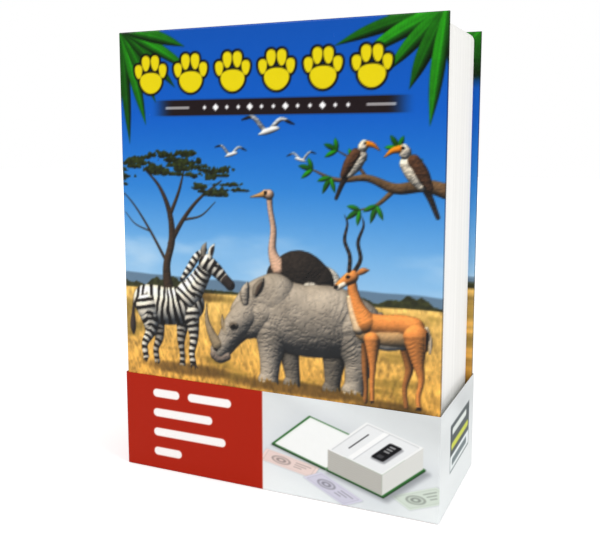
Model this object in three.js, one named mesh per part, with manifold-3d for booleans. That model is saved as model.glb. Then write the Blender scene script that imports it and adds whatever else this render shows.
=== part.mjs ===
// Book diversion safe: a hardback case round a moulded page block that hides a cash box.
// Millimetres, +Z up. The book stands on its lower edges, front cover at -Y, spine at -X.
import * as THREE from 'three';
import { mergeVertices } from 'three/addons/utils/BufferGeometryUtils.js';
import Module from 'manifold-3d';

const wasm = await Module();
wasm.setup();

// Driving dimensions: the hardback case
const coverHeight = 205;
const coverWidth = 153;
const bookThickness = 64.4;
const boardThickness = 1.8;
const paperThickness = 0.3;
const glueLine = 0.1;
const turnInWidth = 12;
const endpaperMargin = 4;
const foreEdgeSquare = 2.8;
const headSquare = 1;
const foldClearance = 0.3;
const boardFromFold = 1.6;
const coverClearance = 0.5;

// Driving dimensions: the paper sleeve round the foot of the book
const sleeveHeight = 45.4;
const sleevePaper = 0.35;
const sleeveGap = 0.2;
const sleeveLift = 0.3;
const sleeveFoldGap = 0.8;

// Driving dimensions: the moulded page block and the frame in its mouth
const shellWall = 2.4;
const shellFloor = 2.4;
const shellLedge = 0.9;
const blockCorner = 3.5;
const spineCorner = 1;
const frameDepth = 8.2;
const frameGap = 0.3;
const rimWidth = 5;
const recessDepth = 6;
const recessCorner = 1.5;
const ridgeWidth = 14;
const ridgeHeight = 4.6;
const ridgeSlope = 2.6;
const ridgeFromKnuckle = 0.9;
const slotWidth = 5;
const slotLength = 106;
const slotFromRidge = 19;
const slotEndRadius = 2.2;

// Driving dimensions: the inner door and its hinge
const doorReach = 71.4;
const doorThickness = 2.2;
const doorGap = 0.6;
const knuckleRadius = 2;
const knuckleSink = 0.3;
const swingGap = 0.5;
const runningGap = 0.3;
const hingePinRadius = 1;
const hingePinInDoor = 10;
const hingeLugHalf = 3.5;
const hingeLugEnd = 0.8;

// Driving dimensions: the combination lock on the door
const lockWidth = 32;
const bezelHeight = 3.5;
const bezelCorner = 2.5;
const bezelHeadMargin = 2.8;
const bezelTailMargin = 6.6;
const tabWidth = 22;
const tabLength = 18;
const wheelRadius = 10;
const wheelWidth = 6;
const wheelPitch = 8;
const wheelProud = 1.5;
const wheelCount = 3;
const wheelGroove = 0.7;
const stackCentre = 12;
const sleeveRadius = 5;
const shaftRadius = 1.5;
const finReach = 3.3;
const finWidth = 1.2;
const chassisWidth = 26;
const chassisWall = 1.8;
const chassisRoomBelowWheels = 1.8;
const webThickness = 1.2;
const webRoomBelow = 3.3;
const ribSpacing = 3.4;
const earLength = 8;
const earThickness = 2;
const tailEarWidth = 12;
const springThickness = 0.4;
const springFingerWidth = 4;
const springTip = 2.4;
const springHook = 0.5;
const screwRadius = 1;
const screwHeadRadius = 1.8;
const screwHeadHeight = 1.4;
const screwBite = 2.2;
const screwSlotWidth = 0.6;
const screwSlotDepth = 0.6;
const headScrewSpread = 9;
const headScrewShift = 0.6;

// Driving dimensions: the latch that the lock sets free
const knobWidth = 14;
const knobLength = 12;
const knobProud = 1.3;
const knobRib = 0.5;
const knobRibPitch = 2;
const knobRibSteps = [-2, -1, 0, 1, 2];
const neckWidth = 5.2;
const neckLength = 5.2;
const knobRest = -30;
const latchThickness = 1.5;
const latchBodyWidth = 15;
const latchArmWidth = 12;
const latchBarWidth = 5;
const hookWidth = 8;
const tailHookPlace = -41;
const headHookPlace = 6;
const shaftGrip = 3.5;
const shaftEnd = 1.5;
const keeperThickness = 1.5;
const keeperLap = 4;
const keeperTail = -52;
const keeperHead = 26;
const keeperScrewPlaces = [-22, 21];
const keeperScrewBite = 4;
const keeperScrewInset = 2.3;

// Cutting tools run past the faces that they cut by this much
const overrun = 1;

// Counts and angles
const cornerSteps = 5;
const roundSteps = 24;
const pinSteps = 16;
const facets = 10;
const facetHalfAngle = THREE.MathUtils.degToRad(13);
const grooveHalfAngle = THREE.MathUtils.degToRad(16);
const halfTurn = Math.PI;
const quarterTurn = Math.PI / 2;

// Sizes that follow: the case
const wrapDepth = 2 * paperThickness + 2 * glueLine + boardThickness;
const boardInset = paperThickness + glueLine;
const panelDepth = wrapDepth + glueLine + paperThickness;
const panelStart = paperThickness + foldClearance;
const spineBoardStart = panelDepth + foldClearance;

// Sizes that follow: the page block, from the spine wall, the rim plane and the tail
const blockLeft = wrapDepth + glueLine;
const blockFront = panelDepth + coverClearance;
const blockWidth = coverWidth - foreEdgeSquare - blockLeft;
const blockDepth = bookThickness - blockFront - panelDepth - glueLine;
const blockHeight = coverHeight - 2 * headSquare;
const frameInset = shellWall + frameGap;
const recessInset = frameInset + rimWidth;
const recessRight = blockWidth - recessInset;
const hingeLugStart = shellWall + shellLedge + frameGap;
const hingePinInFrame = recessInset - hingeLugStart - hingeLugEnd;

// Sizes that follow: the door hinge, measured in the page block
const doorEdge = recessRight - doorGap;
const pivotX = doorEdge - doorReach;
const pivotY = recessDepth + knuckleRadius + knuckleSink;
const ridgeRight = pivotX - knuckleRadius - ridgeFromKnuckle;
const ridgeLeft = ridgeRight - ridgeWidth;
const doorTail = recessInset + doorGap;
const doorHead = blockHeight - doorTail;
const slotX = ridgeLeft - slotFromRidge;

// Sizes that follow: the lock, measured from its middle on the door's outer face
const lockX = pivotX + doorReach / 2;
const lockZ = blockHeight / 2;
const axisDepth = wheelRadius - bezelHeight - wheelProud;
const chassisTop = doorThickness + glueLine;
const chassisFloorTop = axisDepth + wheelRadius + chassisRoomBelowWheels;
const chassisBottom = chassisFloorTop + chassisWall;
const chassisRoomHalf = chassisWidth / 2 - chassisWall;
const wheelPlaces = [...Array(wheelCount).keys()].map(
  (i) => stackCentre + (i - (wheelCount - 1) / 2) * wheelPitch);
const webPlaces = [...Array(wheelCount + 1).keys()].map(
  (i) => wheelPlaces[0] + (i - 1 / 2) * wheelPitch);
const latchTravel = wheelPitch;
const lowerRib = webPlaces[0] - ribSpacing;
const upperRib = webPlaces[wheelCount] + ribSpacing;
const shaftHead = upperRib + shaftEnd;
const latchBodyHead = lowerRib - webThickness / 2 - latchTravel - runningGap;
const latchBodyTail = knobRest - neckLength / 2 - swingGap;
const shaftTail = latchBodyHead - shaftGrip;
const chassisHeadEnd = shaftHead + latchTravel + swingGap + chassisWall;
const chassisTailEnd = latchBodyTail - swingGap - chassisWall;
const bezelHead = chassisHeadEnd + earLength + bezelHeadMargin;
const bezelTail = chassisTailEnd - earLength - bezelTailMargin;
const keeperTop = frameDepth - recessDepth + glueLine;
const latchTop = keeperTop + keeperThickness + runningGap;
const latchBottom = latchTop + latchThickness;
const rimFace = recessRight - lockX;
const hookEnd = rimFace - swingGap;
const keeperEdge = rimFace - keeperLap;
const keeperFar = rimFace + frameInset + rimWidth - shellWall - shellLedge - 2 * frameGap;
const screwClearRadius = screwRadius + runningGap;

// Finishes
const finish = (color, roughness, metalness = 0) =>
  new THREE.MeshStandardMaterial({ color, roughness, metalness, flatShading: true });
const printedPaper = finish(0x1f5fb8, 0.3);
const greyBoard = finish(0x9b9488, 0.9);
const whitePaper = finish(0xf2f1ec, 0.8);
const sleeveCard = finish(0xe6e8ea, 0.45);
const sleeveRed = finish(0xbc3a1c, 0.45);
const whitePlastic = finish(0xf4f4f1, 0.5);
const blackPlastic = finish(0x17181a, 0.4);
const steel = finish(0xb4b7ba, 0.35, 1);
const brass = finish(0xc9a860, 0.35, 1);

// A closed three.js geometry as a solid that can be cut and joined
function solidOf(geometry) {
  const bare = geometry.clone();
  bare.deleteAttribute('normal');
  bare.deleteAttribute('uv');
  const merged = mergeVertices(bare);
  return new wasm.Manifold(new wasm.Mesh({
    numProp: 3,
    vertProperties: new Float32Array(merged.attributes.position.array),
    triVerts: new Uint32Array(merged.index.array),
  }));
}

// The solid back as a three.js geometry
function geometryOf(solid) {
  const mesh = solid.getMesh();
  const geometry = new THREE.BufferGeometry();
  geometry.setAttribute('position', new THREE.BufferAttribute(mesh.vertProperties, 3));
  geometry.setIndex(new THREE.BufferAttribute(mesh.triVerts, 1));
  geometry.computeVertexNormals();
  return geometry;
}

// A named piece in its group
function addPiece(group, name, solid, material) {
  const piece = new THREE.Mesh(geometryOf(solid), material);
  piece.name = name;
  group.add(piece);
  return piece;
}

// A box between two corners
function box([x0, x1], [y0, y1], [z0, z1]) {
  const geometry = new THREE.BoxGeometry(x1 - x0, y1 - y0, z1 - z0);
  geometry.translate((x0 + x1) / 2, (y0 + y1) / 2, (z0 + z1) / 2);
  return solidOf(geometry);
}

// A flat outline in X and Z given thickness along Y
function plate(outline, [y0, y1], steps = cornerSteps) {
  const geometry = new THREE.ExtrudeGeometry(outline, {
    depth: y1 - y0, bevelEnabled: false, curveSegments: steps,
  });
  geometry.rotateX(quarterTurn);
  geometry.translate(0, y1, 0);
  return solidOf(geometry);
}

// A flat outline in X and Y drawn out along Z
function bar(outline, [z0, z1], steps = cornerSteps) {
  const geometry = new THREE.ExtrudeGeometry(outline, {
    depth: z1 - z0, bevelEnabled: false, curveSegments: steps,
  });
  geometry.translate(0, 0, z0);
  return solidOf(geometry);
}

// A round bar along Z
function rod(x, y, radius, [z0, z1], steps = roundSteps) {
  const geometry = new THREE.CylinderGeometry(radius, radius, z1 - z0, steps);
  geometry.rotateX(quarterTurn);
  geometry.translate(x, y, (z0 + z1) / 2);
  return solidOf(geometry);
}

// A round bar along Y
function stud(x, z, radius, [y0, y1], steps = pinSteps) {
  const geometry = new THREE.CylinderGeometry(radius, radius, y1 - y0, steps);
  geometry.translate(x, (y0 + y1) / 2, z);
  return solidOf(geometry);
}

// A rectangle in X and Z whose left and right corners have their own radii
function roundedOutline([x0, x1], [z0, z1], leftRadius, rightRadius = leftRadius) {
  const outline = new THREE.Shape();
  outline.moveTo(x0 + leftRadius, z0);
  outline.lineTo(x1 - rightRadius, z0);
  outline.absarc(x1 - rightRadius, z0 + rightRadius, rightRadius, -quarterTurn, 0);
  outline.absarc(x1 - rightRadius, z1 - rightRadius, rightRadius, 0, quarterTurn);
  outline.absarc(x0 + leftRadius, z1 - leftRadius, leftRadius, quarterTurn, halfTurn);
  outline.absarc(x0 + leftRadius, z0 + leftRadius, leftRadius, halfTurn, 3 * quarterTurn);
  outline.closePath();
  return outline;
}

function polygon(points) {
  return new THREE.Shape(points.map(([x, y]) => new THREE.Vector2(x, y)));
}

// Printed paper drawn round a board: outer sheet, folded edges and turn-ins.
// Local frame: outer face at y = 0, spine side at x = 0, tail at z = 0.
function foldedSheet(width, foldAtForeEdge) {
  const foreEdgeFold = foldAtForeEdge ? paperThickness : -overrun;
  const foreEdgeTurnIn = foldAtForeEdge ? turnInWidth : -overrun;
  const outside = box([0, width], [0, wrapDepth], [0, coverHeight]);
  const boardRoom = box([-overrun, width - foreEdgeFold],
    [paperThickness, wrapDepth - paperThickness],
    [paperThickness, coverHeight - paperThickness]);
  const innerWindow = box([-overrun, width - foreEdgeTurnIn],
    [wrapDepth / 2, wrapDepth + overrun],
    [turnInWidth, coverHeight - turnInWidth]);
  return outside.subtract(boardRoom).subtract(innerWindow);
}

// One rigid cover: its board and the printed paper round it
function addCoverPanel(group, name) {
  const width = coverWidth - panelStart;
  const sheet = foldedSheet(width, true);
  const board = box([boardFromFold, width - boardInset],
    [boardInset, boardInset + boardThickness], [boardInset, coverHeight - boardInset]);
  for (const [suffix, solid, material] of [
    ['wrap', sheet, printedPaper], ['board', board, greyBoard]]) {
    addPiece(group, `${name}_${suffix}`, solid, material).position.x = panelStart;
  }
}

// The white leaf pasted inside a cover, over its turn-ins
function addEndpaper(group, name, start) {
  const leaf = box([start, coverWidth - endpaperMargin],
    [wrapDepth + glueLine, panelDepth], [endpaperMargin, coverHeight - endpaperMargin]);
  addPiece(group, name, leaf, whitePaper);
}

// The front cover turns about the outer fold at the spine, the z axis of its group
function makeFrontCover() {
  const cover = new THREE.Group();
  cover.position.set(-coverWidth / 2, -bookThickness / 2, 0);
  addCoverPanel(cover, 'front_cover');
  addEndpaper(cover, 'front_endpaper', panelStart + foldClearance);
  return cover;
}

// The back cover is the same panel turned face about
function makeBackCover() {
  const cover = new THREE.Group();
  cover.position.set(-coverWidth / 2, bookThickness / 2, coverHeight);
  cover.rotation.x = halfTurn;
  addCoverPanel(cover, 'back_cover');
  addEndpaper(cover, 'back_endpaper', wrapDepth + foldClearance);
  return cover;
}

// The spine stands between the covers, its paper running out to both folds
function makeSpine() {
  const spine = new THREE.Group();
  spine.position.set(-coverWidth / 2, bookThickness / 2, 0);
  spine.rotation.z = -quarterTurn;
  const boardWidth = bookThickness - 2 * spineBoardStart;
  const outer = box([0, bookThickness], [0, paperThickness], [0, coverHeight]);
  const folded = foldedSheet(boardWidth, false).translate(spineBoardStart, 0, 0);
  addPiece(spine, 'spine_wrap', outer.add(folded), printedPaper);
  const board = box([spineBoardStart, spineBoardStart + boardWidth],
    [boardInset, boardInset + boardThickness], [boardInset, coverHeight - boardInset]);
  addPiece(spine, 'spine_board', board, greyBoard);
  return spine;
}

// The paper sleeve round the foot of the book, a panel to each side
function makeSleeve() {
  const sleeve = new THREE.Group();
  const halfWidth = coverWidth / 2;
  const halfThickness = bookThickness / 2;
  const height = [sleeveLift, sleeveLift + sleeveHeight];
  const outward = [sleeveGap, sleeveGap + sleevePaper];
  const low = outward.map((d) => -halfThickness - d).reverse();
  const high = outward.map((d) => halfThickness + d);
  const left = outward.map((d) => -halfWidth - d).reverse();
  const right = outward.map((d) => halfWidth + d);
  addPiece(sleeve, 'sleeve_front_panel',
    box([-halfWidth + sleeveFoldGap, halfWidth], low, height), sleeveRed);
  addPiece(sleeve, 'sleeve_spine_panel',
    box(left, [-halfThickness + sleeveFoldGap, halfThickness], height), sleeveCard);
  addPiece(sleeve, 'sleeve_back_panel', box([-halfWidth, halfWidth], high, height), sleeveCard);
  addPiece(sleeve, 'sleeve_fore_edge_panel',
    box(right, [-halfThickness, halfThickness], height), sleeveCard);
  return sleeve;
}

// Outline of the page block, drawn in from its outside by an inset
function blockOutline(inset) {
  return roundedOutline([inset, blockWidth - inset], [inset, blockHeight - inset],
    Math.max(spineCorner - inset, recessCorner / 2), Math.max(blockCorner - inset, recessCorner / 2));
}

// The moulded box with page-like sides, open towards the front cover
function makeShell() {
  const ledgeFace = frameDepth + frameGap;
  return plate(blockOutline(0), [0, blockDepth])
    .subtract(plate(blockOutline(shellWall), [-overrun, ledgeFace]))
    .subtract(plate(blockOutline(shellWall + shellLedge), [overrun, blockDepth - shellFloor]));
}

// The raised ridge between the money deck and the door
function makeRidge() {
  const top = recessDepth - ridgeHeight;
  const outline = polygon([[ridgeLeft, recessDepth + overrun], [ridgeLeft, recessDepth],
    [ridgeLeft + ridgeSlope, top], [ridgeRight - ridgeSlope, top],
    [ridgeRight, recessDepth], [ridgeRight, recessDepth + overrun]]);
  return bar(outline, [recessInset - overrun, blockHeight - recessInset + overrun]);
}

// Lugs at head and tail that hold the hinge pins
function hingeLug(reach) {
  return box([pivotX - hingeLugHalf, pivotX + hingeLugHalf],
    [pivotY - hingeLugHalf, pivotY + hingeLugHalf], reach);
}

// The frame: rim, recessed money deck with its slot, ridge and the door's opening
function makeFrame() {
  const rims = [recessInset, blockHeight - recessInset];
  const recess = roundedOutline([recessInset, recessRight], rims, recessCorner);
  const slot = roundedOutline([slotX - slotWidth / 2, slotX + slotWidth / 2],
    [lockZ - slotLength / 2, lockZ + slotLength / 2], slotEndRadius);
  const deck = box([recessInset - overrun, ridgeRight], [recessDepth, frameDepth],
    [rims[0] - overrun, rims[1] + overrun]);
  let frame = plate(blockOutline(frameInset), [0, frameDepth])
    .subtract(plate(recess, [-overrun, frameDepth + overrun]))
    .add(deck)
    .add(makeRidge())
    .subtract(plate(slot, [0, frameDepth + overrun]))
    .add(hingeLug([hingeLugStart, recessInset]))
    .add(hingeLug([blockHeight - recessInset, blockHeight - hingeLugStart]));
  const boreRadius = hingePinRadius + runningGap;
  const boreDepth = hingePinInFrame + runningGap;
  for (const [z0, z1] of [[recessInset - boreDepth, recessInset + overrun],
    [blockHeight - recessInset - overrun, blockHeight - recessInset + boreDepth]]) {
    frame = frame.subtract(rod(pivotX, pivotY, boreRadius, [z0, z1], pinSteps));
  }
  for (const place of keeperScrewPlaces) {
    frame = frame.subtract(stud(keeperScrewX(), lockZ + place, screwClearRadius,
      [frameDepth - keeperScrewBite - runningGap, frameDepth + overrun]));
  }
  return frame;
}

function keeperScrewX() {
  return lockX + rimFace + keeperScrewInset;
}

// Steel strip behind the rim: its notches let the latch hooks through when released
function makeKeeper() {
  const places = [tailHookPlace, headHookPlace];
  let keeper = box([keeperEdge, keeperFar], [0, keeperThickness], [keeperTail, keeperHead]);
  for (const place of places) {
    const half = hookWidth / 2 + swingGap;
    keeper = keeper.subtract(box([keeperEdge - overrun, hookEnd + swingGap],
      [-overrun, keeperThickness + overrun], [place - half, place + half]));
  }
  for (const place of keeperScrewPlaces) {
    keeper = keeper.subtract(stud(rimFace + keeperScrewInset, place, screwClearRadius,
      [-overrun, keeperThickness + overrun]));
  }
  return keeper;
}

// A slotted screw, its head towards +Y and its shank running to -Y from y = 0
function makeScrew(shankLength) {
  const profile = [[0, -shankLength], [screwRadius, -shankLength], [screwRadius, 0],
    [screwHeadRadius, 0], [screwHeadRadius, screwHeadHeight / 2],
    [screwHeadRadius - screwSlotDepth, screwHeadHeight], [0, screwHeadHeight]];
  const turned = new THREE.LatheGeometry(profile.map(([x, y]) => new THREE.Vector2(x, y)), pinSteps);
  const slot = box([-screwHeadRadius - overrun, screwHeadRadius + overrun],
    [screwHeadHeight - screwSlotDepth, screwHeadHeight + overrun],
    [-screwSlotWidth / 2, screwSlotWidth / 2]);
  return solidOf(turned).subtract(slot);
}

// The page block with everything that stays on it
function makePageBlock() {
  const pageBlock = new THREE.Group();
  pageBlock.position.set(-coverWidth / 2 + blockLeft, -bookThickness / 2 + blockFront, headSquare);
  addPiece(pageBlock, 'page_block_shell', makeShell(), whitePlastic);
  addPiece(pageBlock, 'door_frame', makeFrame(), whitePlastic);
  addPiece(pageBlock, 'keeper_plate', makeKeeper(), steel)
    .position.set(lockX, frameDepth + glueLine, lockZ);
  keeperScrewPlaces.forEach((place, i) => {
    const screw = makeScrew(keeperThickness + glueLine + keeperScrewBite);
    addPiece(pageBlock, `keeper_screw_${i + 1}`, screw, steel)
      .position.set(keeperScrewX(), frameDepth + keeperThickness + 2 * glueLine, lockZ + place);
  });
  const tailPin = [recessInset - hingePinInFrame, doorTail + hingePinInDoor];
  const headPin = tailPin.map((z) => blockHeight - z).reverse();
  for (const [name, reach] of [['lower', tailPin], ['upper', headPin]]) {
    addPiece(pageBlock, `door_hinge_pin_${name}`,
      rod(pivotX, pivotY, hingePinRadius, reach, pinSteps), steel);
  }
  pageBlock.add(makeDoor());
  return pageBlock;
}

// The door panel with its hinge knuckle, seen from its own pivot
function makeDoorPanel() {
  const length = doorHead - doorTail;
  const face = -knuckleRadius - knuckleSink;
  const back = face + doorThickness;
  let panel = plate(roundedOutline([hingePinRadius, doorReach], [0, length], recessCorner), [face, back])
    .add(rod(0, 0, knuckleRadius, [0, length], pinSteps));
  const lockMiddle = lockZ - doorTail;
  const reach = [face - overrun, back + overrun];
  const wheelRoom = wheelRadius + doorGap;
  panel = panel.subtract(box([doorReach / 2 - wheelRoom, doorReach / 2 + wheelRoom], reach,
    [lockMiddle + wheelPlaces[0] - wheelPitch / 2,
      lockMiddle + wheelPlaces[wheelCount - 1] + wheelPitch / 2]));
  panel = panel.subtract(knobSlot(doorReach / 2, lockMiddle, reach, runningGap));
  for (const [x, z] of lockScrewPlaces()) {
    panel = panel.subtract(stud(doorReach / 2 + x, lockMiddle + z, screwClearRadius, reach));
  }
  const bore = hingePinRadius + runningGap;
  const boreDepth = hingePinInDoor + runningGap;
  for (const z of [[-overrun, boreDepth], [length - boreDepth, length + overrun]]) {
    panel = panel.subtract(rod(0, 0, bore, z, pinSteps));
  }
  return panel;
}

// The way that the slider's neck needs, round a lock middle
function knobSlot(x, z, reach, extra) {
  const half = neckWidth / 2 + runningGap + extra;
  const room = neckLength / 2 + runningGap + extra;
  return box([x - half, x + half], reach,
    [z + knobRest - room, z + knobRest + latchTravel + room]);
}

// Screws through the chassis ears: two at the head end, one at the tail end
function lockScrewPlaces() {
  const headZ = chassisHeadEnd + earLength / 2 + headScrewShift;
  const tailZ = chassisTailEnd - earLength / 2;
  return [[-headScrewSpread, headZ], [headScrewSpread, headZ], [0, tailZ]];
}

// The black plate on the door's outer face, with a round tab at its tail end
function bezelOutline() {
  const half = lockWidth / 2;
  const tabHalf = tabWidth / 2;
  const shoulder = bezelTail + tabLength;
  const outline = new THREE.Shape();
  outline.absarc(0, bezelTail + tabHalf, tabHalf, halfTurn, 2 * halfTurn);
  outline.lineTo(tabHalf, shoulder);
  outline.absarc(half - bezelCorner, shoulder + bezelCorner, bezelCorner, -quarterTurn, 0);
  outline.absarc(half - bezelCorner, bezelHead - bezelCorner, bezelCorner, 0, quarterTurn);
  outline.absarc(-half + bezelCorner, bezelHead - bezelCorner, bezelCorner, quarterTurn, halfTurn);
  outline.absarc(-half + bezelCorner, shoulder + bezelCorner, bezelCorner, halfTurn, 3 * quarterTurn);
  outline.lineTo(-tabHalf, shoulder);
  outline.closePath();
  return outline;
}

function makeBezel() {
  const back = -glueLine;
  const reach = [-bezelHeight - overrun, back + overrun];
  let bezel = plate(bezelOutline(), [-bezelHeight, back], roundSteps / 2);
  const windowHalf = Math.sqrt(wheelRadius ** 2 - axisDepth ** 2) + doorGap;
  for (const place of wheelPlaces) {
    const half = wheelWidth / 2 + runningGap;
    bezel = bezel.subtract(box([-windowHalf, windowHalf], reach, [place - half, place + half]));
  }
  for (const [x, z] of lockScrewPlaces()) {
    bezel = bezel.subtract(stud(x, z, screwClearRadius, [-screwBite - runningGap, back + overrun]));
  }
  return bezel.subtract(knobSlot(0, 0, reach, 0));
}

// The lock's case behind the door: walls, webs between the wheels, ears for the screws
function makeChassis() {
  const half = chassisWidth / 2;
  const ends = [chassisTailEnd, chassisHeadEnd];
  let chassis = box([-half, half], [chassisTop, chassisBottom], ends)
    .subtract(box([-chassisRoomHalf, chassisRoomHalf], [chassisTop - overrun, chassisFloorTop],
      [chassisTailEnd + chassisWall, chassisHeadEnd - chassisWall]));
  const webReach = [chassisTop, chassisFloorTop - webRoomBelow];
  const webSpan = [-chassisRoomHalf - chassisWall / 2, chassisRoomHalf + chassisWall / 2];
  for (const place of [...webPlaces, lowerRib, upperRib]) {
    chassis = chassis.add(box(webSpan, webReach, [place - webThickness / 2, place + webThickness / 2]));
  }
  chassis = chassis.subtract(rod(0, axisDepth, finReach + doorGap + runningGap,
    [webPlaces[0] - webThickness, webPlaces[wheelCount] + webThickness]));
  chassis = chassis.subtract(rod(0, axisDepth, shaftRadius + runningGap,
    [lowerRib - webThickness, upperRib + webThickness], pinSteps));
  const ear = [chassisTop, chassisTop + earThickness];
  chassis = chassis
    .add(box([-half, half], ear, [chassisHeadEnd - chassisWall / 2, chassisHeadEnd + earLength]))
    .add(box([-tailEarWidth / 2, tailEarWidth / 2], ear,
      [chassisTailEnd - earLength, chassisTailEnd + chassisWall / 2]));
  for (const [x, z] of lockScrewPlaces()) {
    chassis = chassis.subtract(stud(x, z, screwClearRadius, [chassisTop - overrun, ear[1] + overrun]));
  }
  return chassis.subtract(box([chassisRoomHalf - overrun, half + overrun],
    [latchTop - runningGap, latchBottom + runningGap],
    [latchArmTail() - swingGap, latchArmTail() + latchArmWidth + latchTravel + swingGap]));
}

// Tail side of the latch arm, which runs out level with the middle of the latch body
function latchArmTail() {
  return (latchBodyHead + latchBodyTail - latchArmWidth) / 2;
}

// A number wheel: ten flats with finger grooves between them
function makeNumberWheel() {
  const outline = new THREE.Shape();
  const step = (2 * halfTurn) / facets;
  for (let i = 0; i < facets; i += 1) {
    for (const [turn, radius] of [[-grooveHalfAngle, wheelRadius - wheelGroove],
      [-facetHalfAngle, wheelRadius], [facetHalfAngle, wheelRadius],
      [grooveHalfAngle, wheelRadius - wheelGroove]]) {
      const angle = i * step - quarterTurn + turn;
      const point = [radius * Math.cos(angle), radius * Math.sin(angle)];
      if (i === 0 && turn === -grooveHalfAngle) outline.moveTo(...point);
      else outline.lineTo(...point);
    }
  }
  outline.closePath();
  const half = wheelWidth / 2;
  return bar(outline, [-half, half])
    .subtract(rod(0, 0, sleeveRadius + runningGap, [-half - overrun, half + overrun]));
}

// The sleeve inside a wheel: the shaft's fin passes only along its keyway
function makeGateSleeve() {
  const half = wheelWidth / 2;
  const reach = [-half - overrun, half + overrun];
  const keyHalf = finWidth / 2 + runningGap;
  return rod(0, 0, sleeveRadius, [-half, half])
    .subtract(rod(0, 0, shaftRadius + runningGap, reach, pinSteps))
    .subtract(box([-keyHalf, keyHalf], [0, finReach + runningGap], reach));
}

// The shaft that slides with the latch, one fin for each wheel
function makeGateShaft() {
  let shaft = rod(0, 0, shaftRadius, [shaftTail, shaftHead], pinSteps);
  for (const place of webPlaces.slice(0, wheelCount)) {
    shaft = shaft.add(box([-finWidth / 2, finWidth / 2], [0, finReach],
      [place - finWidth / 2, place + finWidth / 2]));
  }
  return shaft;
}

// The leaf spring on the chassis floor, a finger under each wheel
function makeDetentSpring() {
  const bottom = chassisFloorTop - glueLine;
  const top = bottom - springThickness;
  const contact = axisDepth + wheelRadius + runningGap;
  const side = chassisRoomHalf - swingGap;
  let spring = box([side - springFingerWidth, side], [top, bottom],
    [webPlaces[0], webPlaces[wheelCount]]);
  const finger = polygon([[side - springFingerWidth / 2, top], [0, contact],
    [-springTip, contact + springHook], [-springTip, contact + springHook + springThickness],
    [0, contact + springThickness], [side - springFingerWidth / 2, bottom]]);
  for (const place of wheelPlaces) {
    spring = spring.add(bar(finger,
      [place - springFingerWidth / 2, place + springFingerWidth / 2]));
  }
  return spring;
}

// The slider that a finger moves: ribbed grip outside, neck through the bezel and the door
function makeReleaseSlider() {
  const top = -bezelHeight - knobProud;
  const gripBack = -bezelHeight - glueLine;
  const neck = box([-neckWidth / 2, neckWidth / 2], [gripBack - knobRib, latchTop - glueLine],
    [-neckLength / 2, neckLength / 2]);
  let slider = plate(roundedOutline([-knobWidth / 2, knobWidth / 2],
    [-knobLength / 2, knobLength / 2], bezelCorner), [top, gripBack]).add(neck);
  for (const step of knobRibSteps) {
    const z = step * knobRibPitch;
    slider = slider.subtract(box([-knobWidth, knobWidth], [top - overrun, top + knobRib],
      [z - knobRib / 2, z + knobRib / 2]));
  }
  return slider;
}

// The steel latch: body under the slider, arm through the chassis, bar with two hooks
function makeLatch() {
  const depth = [latchTop, latchBottom];
  const bodyHalf = latchBodyWidth / 2;
  const barEnd = hookEnd - keeperLap - swingGap;
  const forkHalf = shaftRadius + runningGap;
  let latch = box([-bodyHalf, bodyHalf], depth, [latchBodyTail, latchBodyHead])
    .add(box([0, barEnd], depth, [latchArmTail(), latchArmTail() + latchArmWidth]))
    .add(box([barEnd - latchBarWidth, barEnd], depth,
      [tailHookPlace - hookWidth / 2, headHookPlace + hookWidth / 2]));
  for (const place of [tailHookPlace, headHookPlace]) {
    latch = latch.add(box([barEnd - latchBarWidth, hookEnd], depth,
      [place - hookWidth / 2, place + hookWidth / 2]));
  }
  return latch.subtract(box([-forkHalf, forkHalf], [latchTop - overrun, latchBottom + overrun],
    [shaftTail - runningGap, latchBodyHead + overrun]));
}

// The combination lock: everything in it, placed round its middle on the door's face
function makeLock() {
  const lock = new THREE.Group();
  addPiece(lock, 'lock_bezel', makeBezel(), blackPlastic);
  addPiece(lock, 'lock_chassis', makeChassis(), blackPlastic);
  addPiece(lock, 'detent_spring', makeDetentSpring(), steel);
  addPiece(lock, 'gate_shaft', makeGateShaft(), steel).position.y = axisDepth;
  addPiece(lock, 'latch_plate', makeLatch(), steel);
  addPiece(lock, 'release_slider', makeReleaseSlider(), blackPlastic).position.z = knobRest;
  wheelPlaces.forEach((place, i) => {
    addPiece(lock, `number_wheel_${i + 1}`, makeNumberWheel(), blackPlastic)
      .position.set(0, axisDepth, place);
    addPiece(lock, `gate_sleeve_${i + 1}`, makeGateSleeve(), brass)
      .position.set(0, axisDepth, place);
  });
  lockScrewPlaces().forEach(([x, z], i) => {
    const screw = makeScrew(earThickness + chassisTop + glueLine + screwBite);
    addPiece(lock, `lock_screw_${i + 1}`, screw, steel)
      .position.set(x, chassisTop + earThickness + glueLine, z);
  });
  return lock;
}

// The inner door turns about its hinge pins, the z axis of its group
function makeDoor() {
  const door = new THREE.Group();
  door.position.set(pivotX, pivotY, doorTail);
  addPiece(door, 'lock_door', makeDoorPanel(), whitePlastic);
  const lock = makeLock();
  lock.position.set(doorReach / 2, -knuckleRadius - knuckleSink, lockZ - doorTail);
  door.add(lock);
  return door;
}

// The whole book, closed and standing
const bookSafe = new THREE.Group();
bookSafe.add(makeFrontCover(), makeBackCover(), makeSpine(), makeSleeve(), makePageBlock());

export default bookSafe;
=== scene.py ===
"""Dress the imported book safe: printed hard case, page block, paper sleeve and combination lock."""

import logging
import math
from collections.abc import Callable
from dataclasses import dataclass, field
from enum import Enum

import bmesh
import bpy
import numpy as np
from mathutils import Matrix


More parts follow.
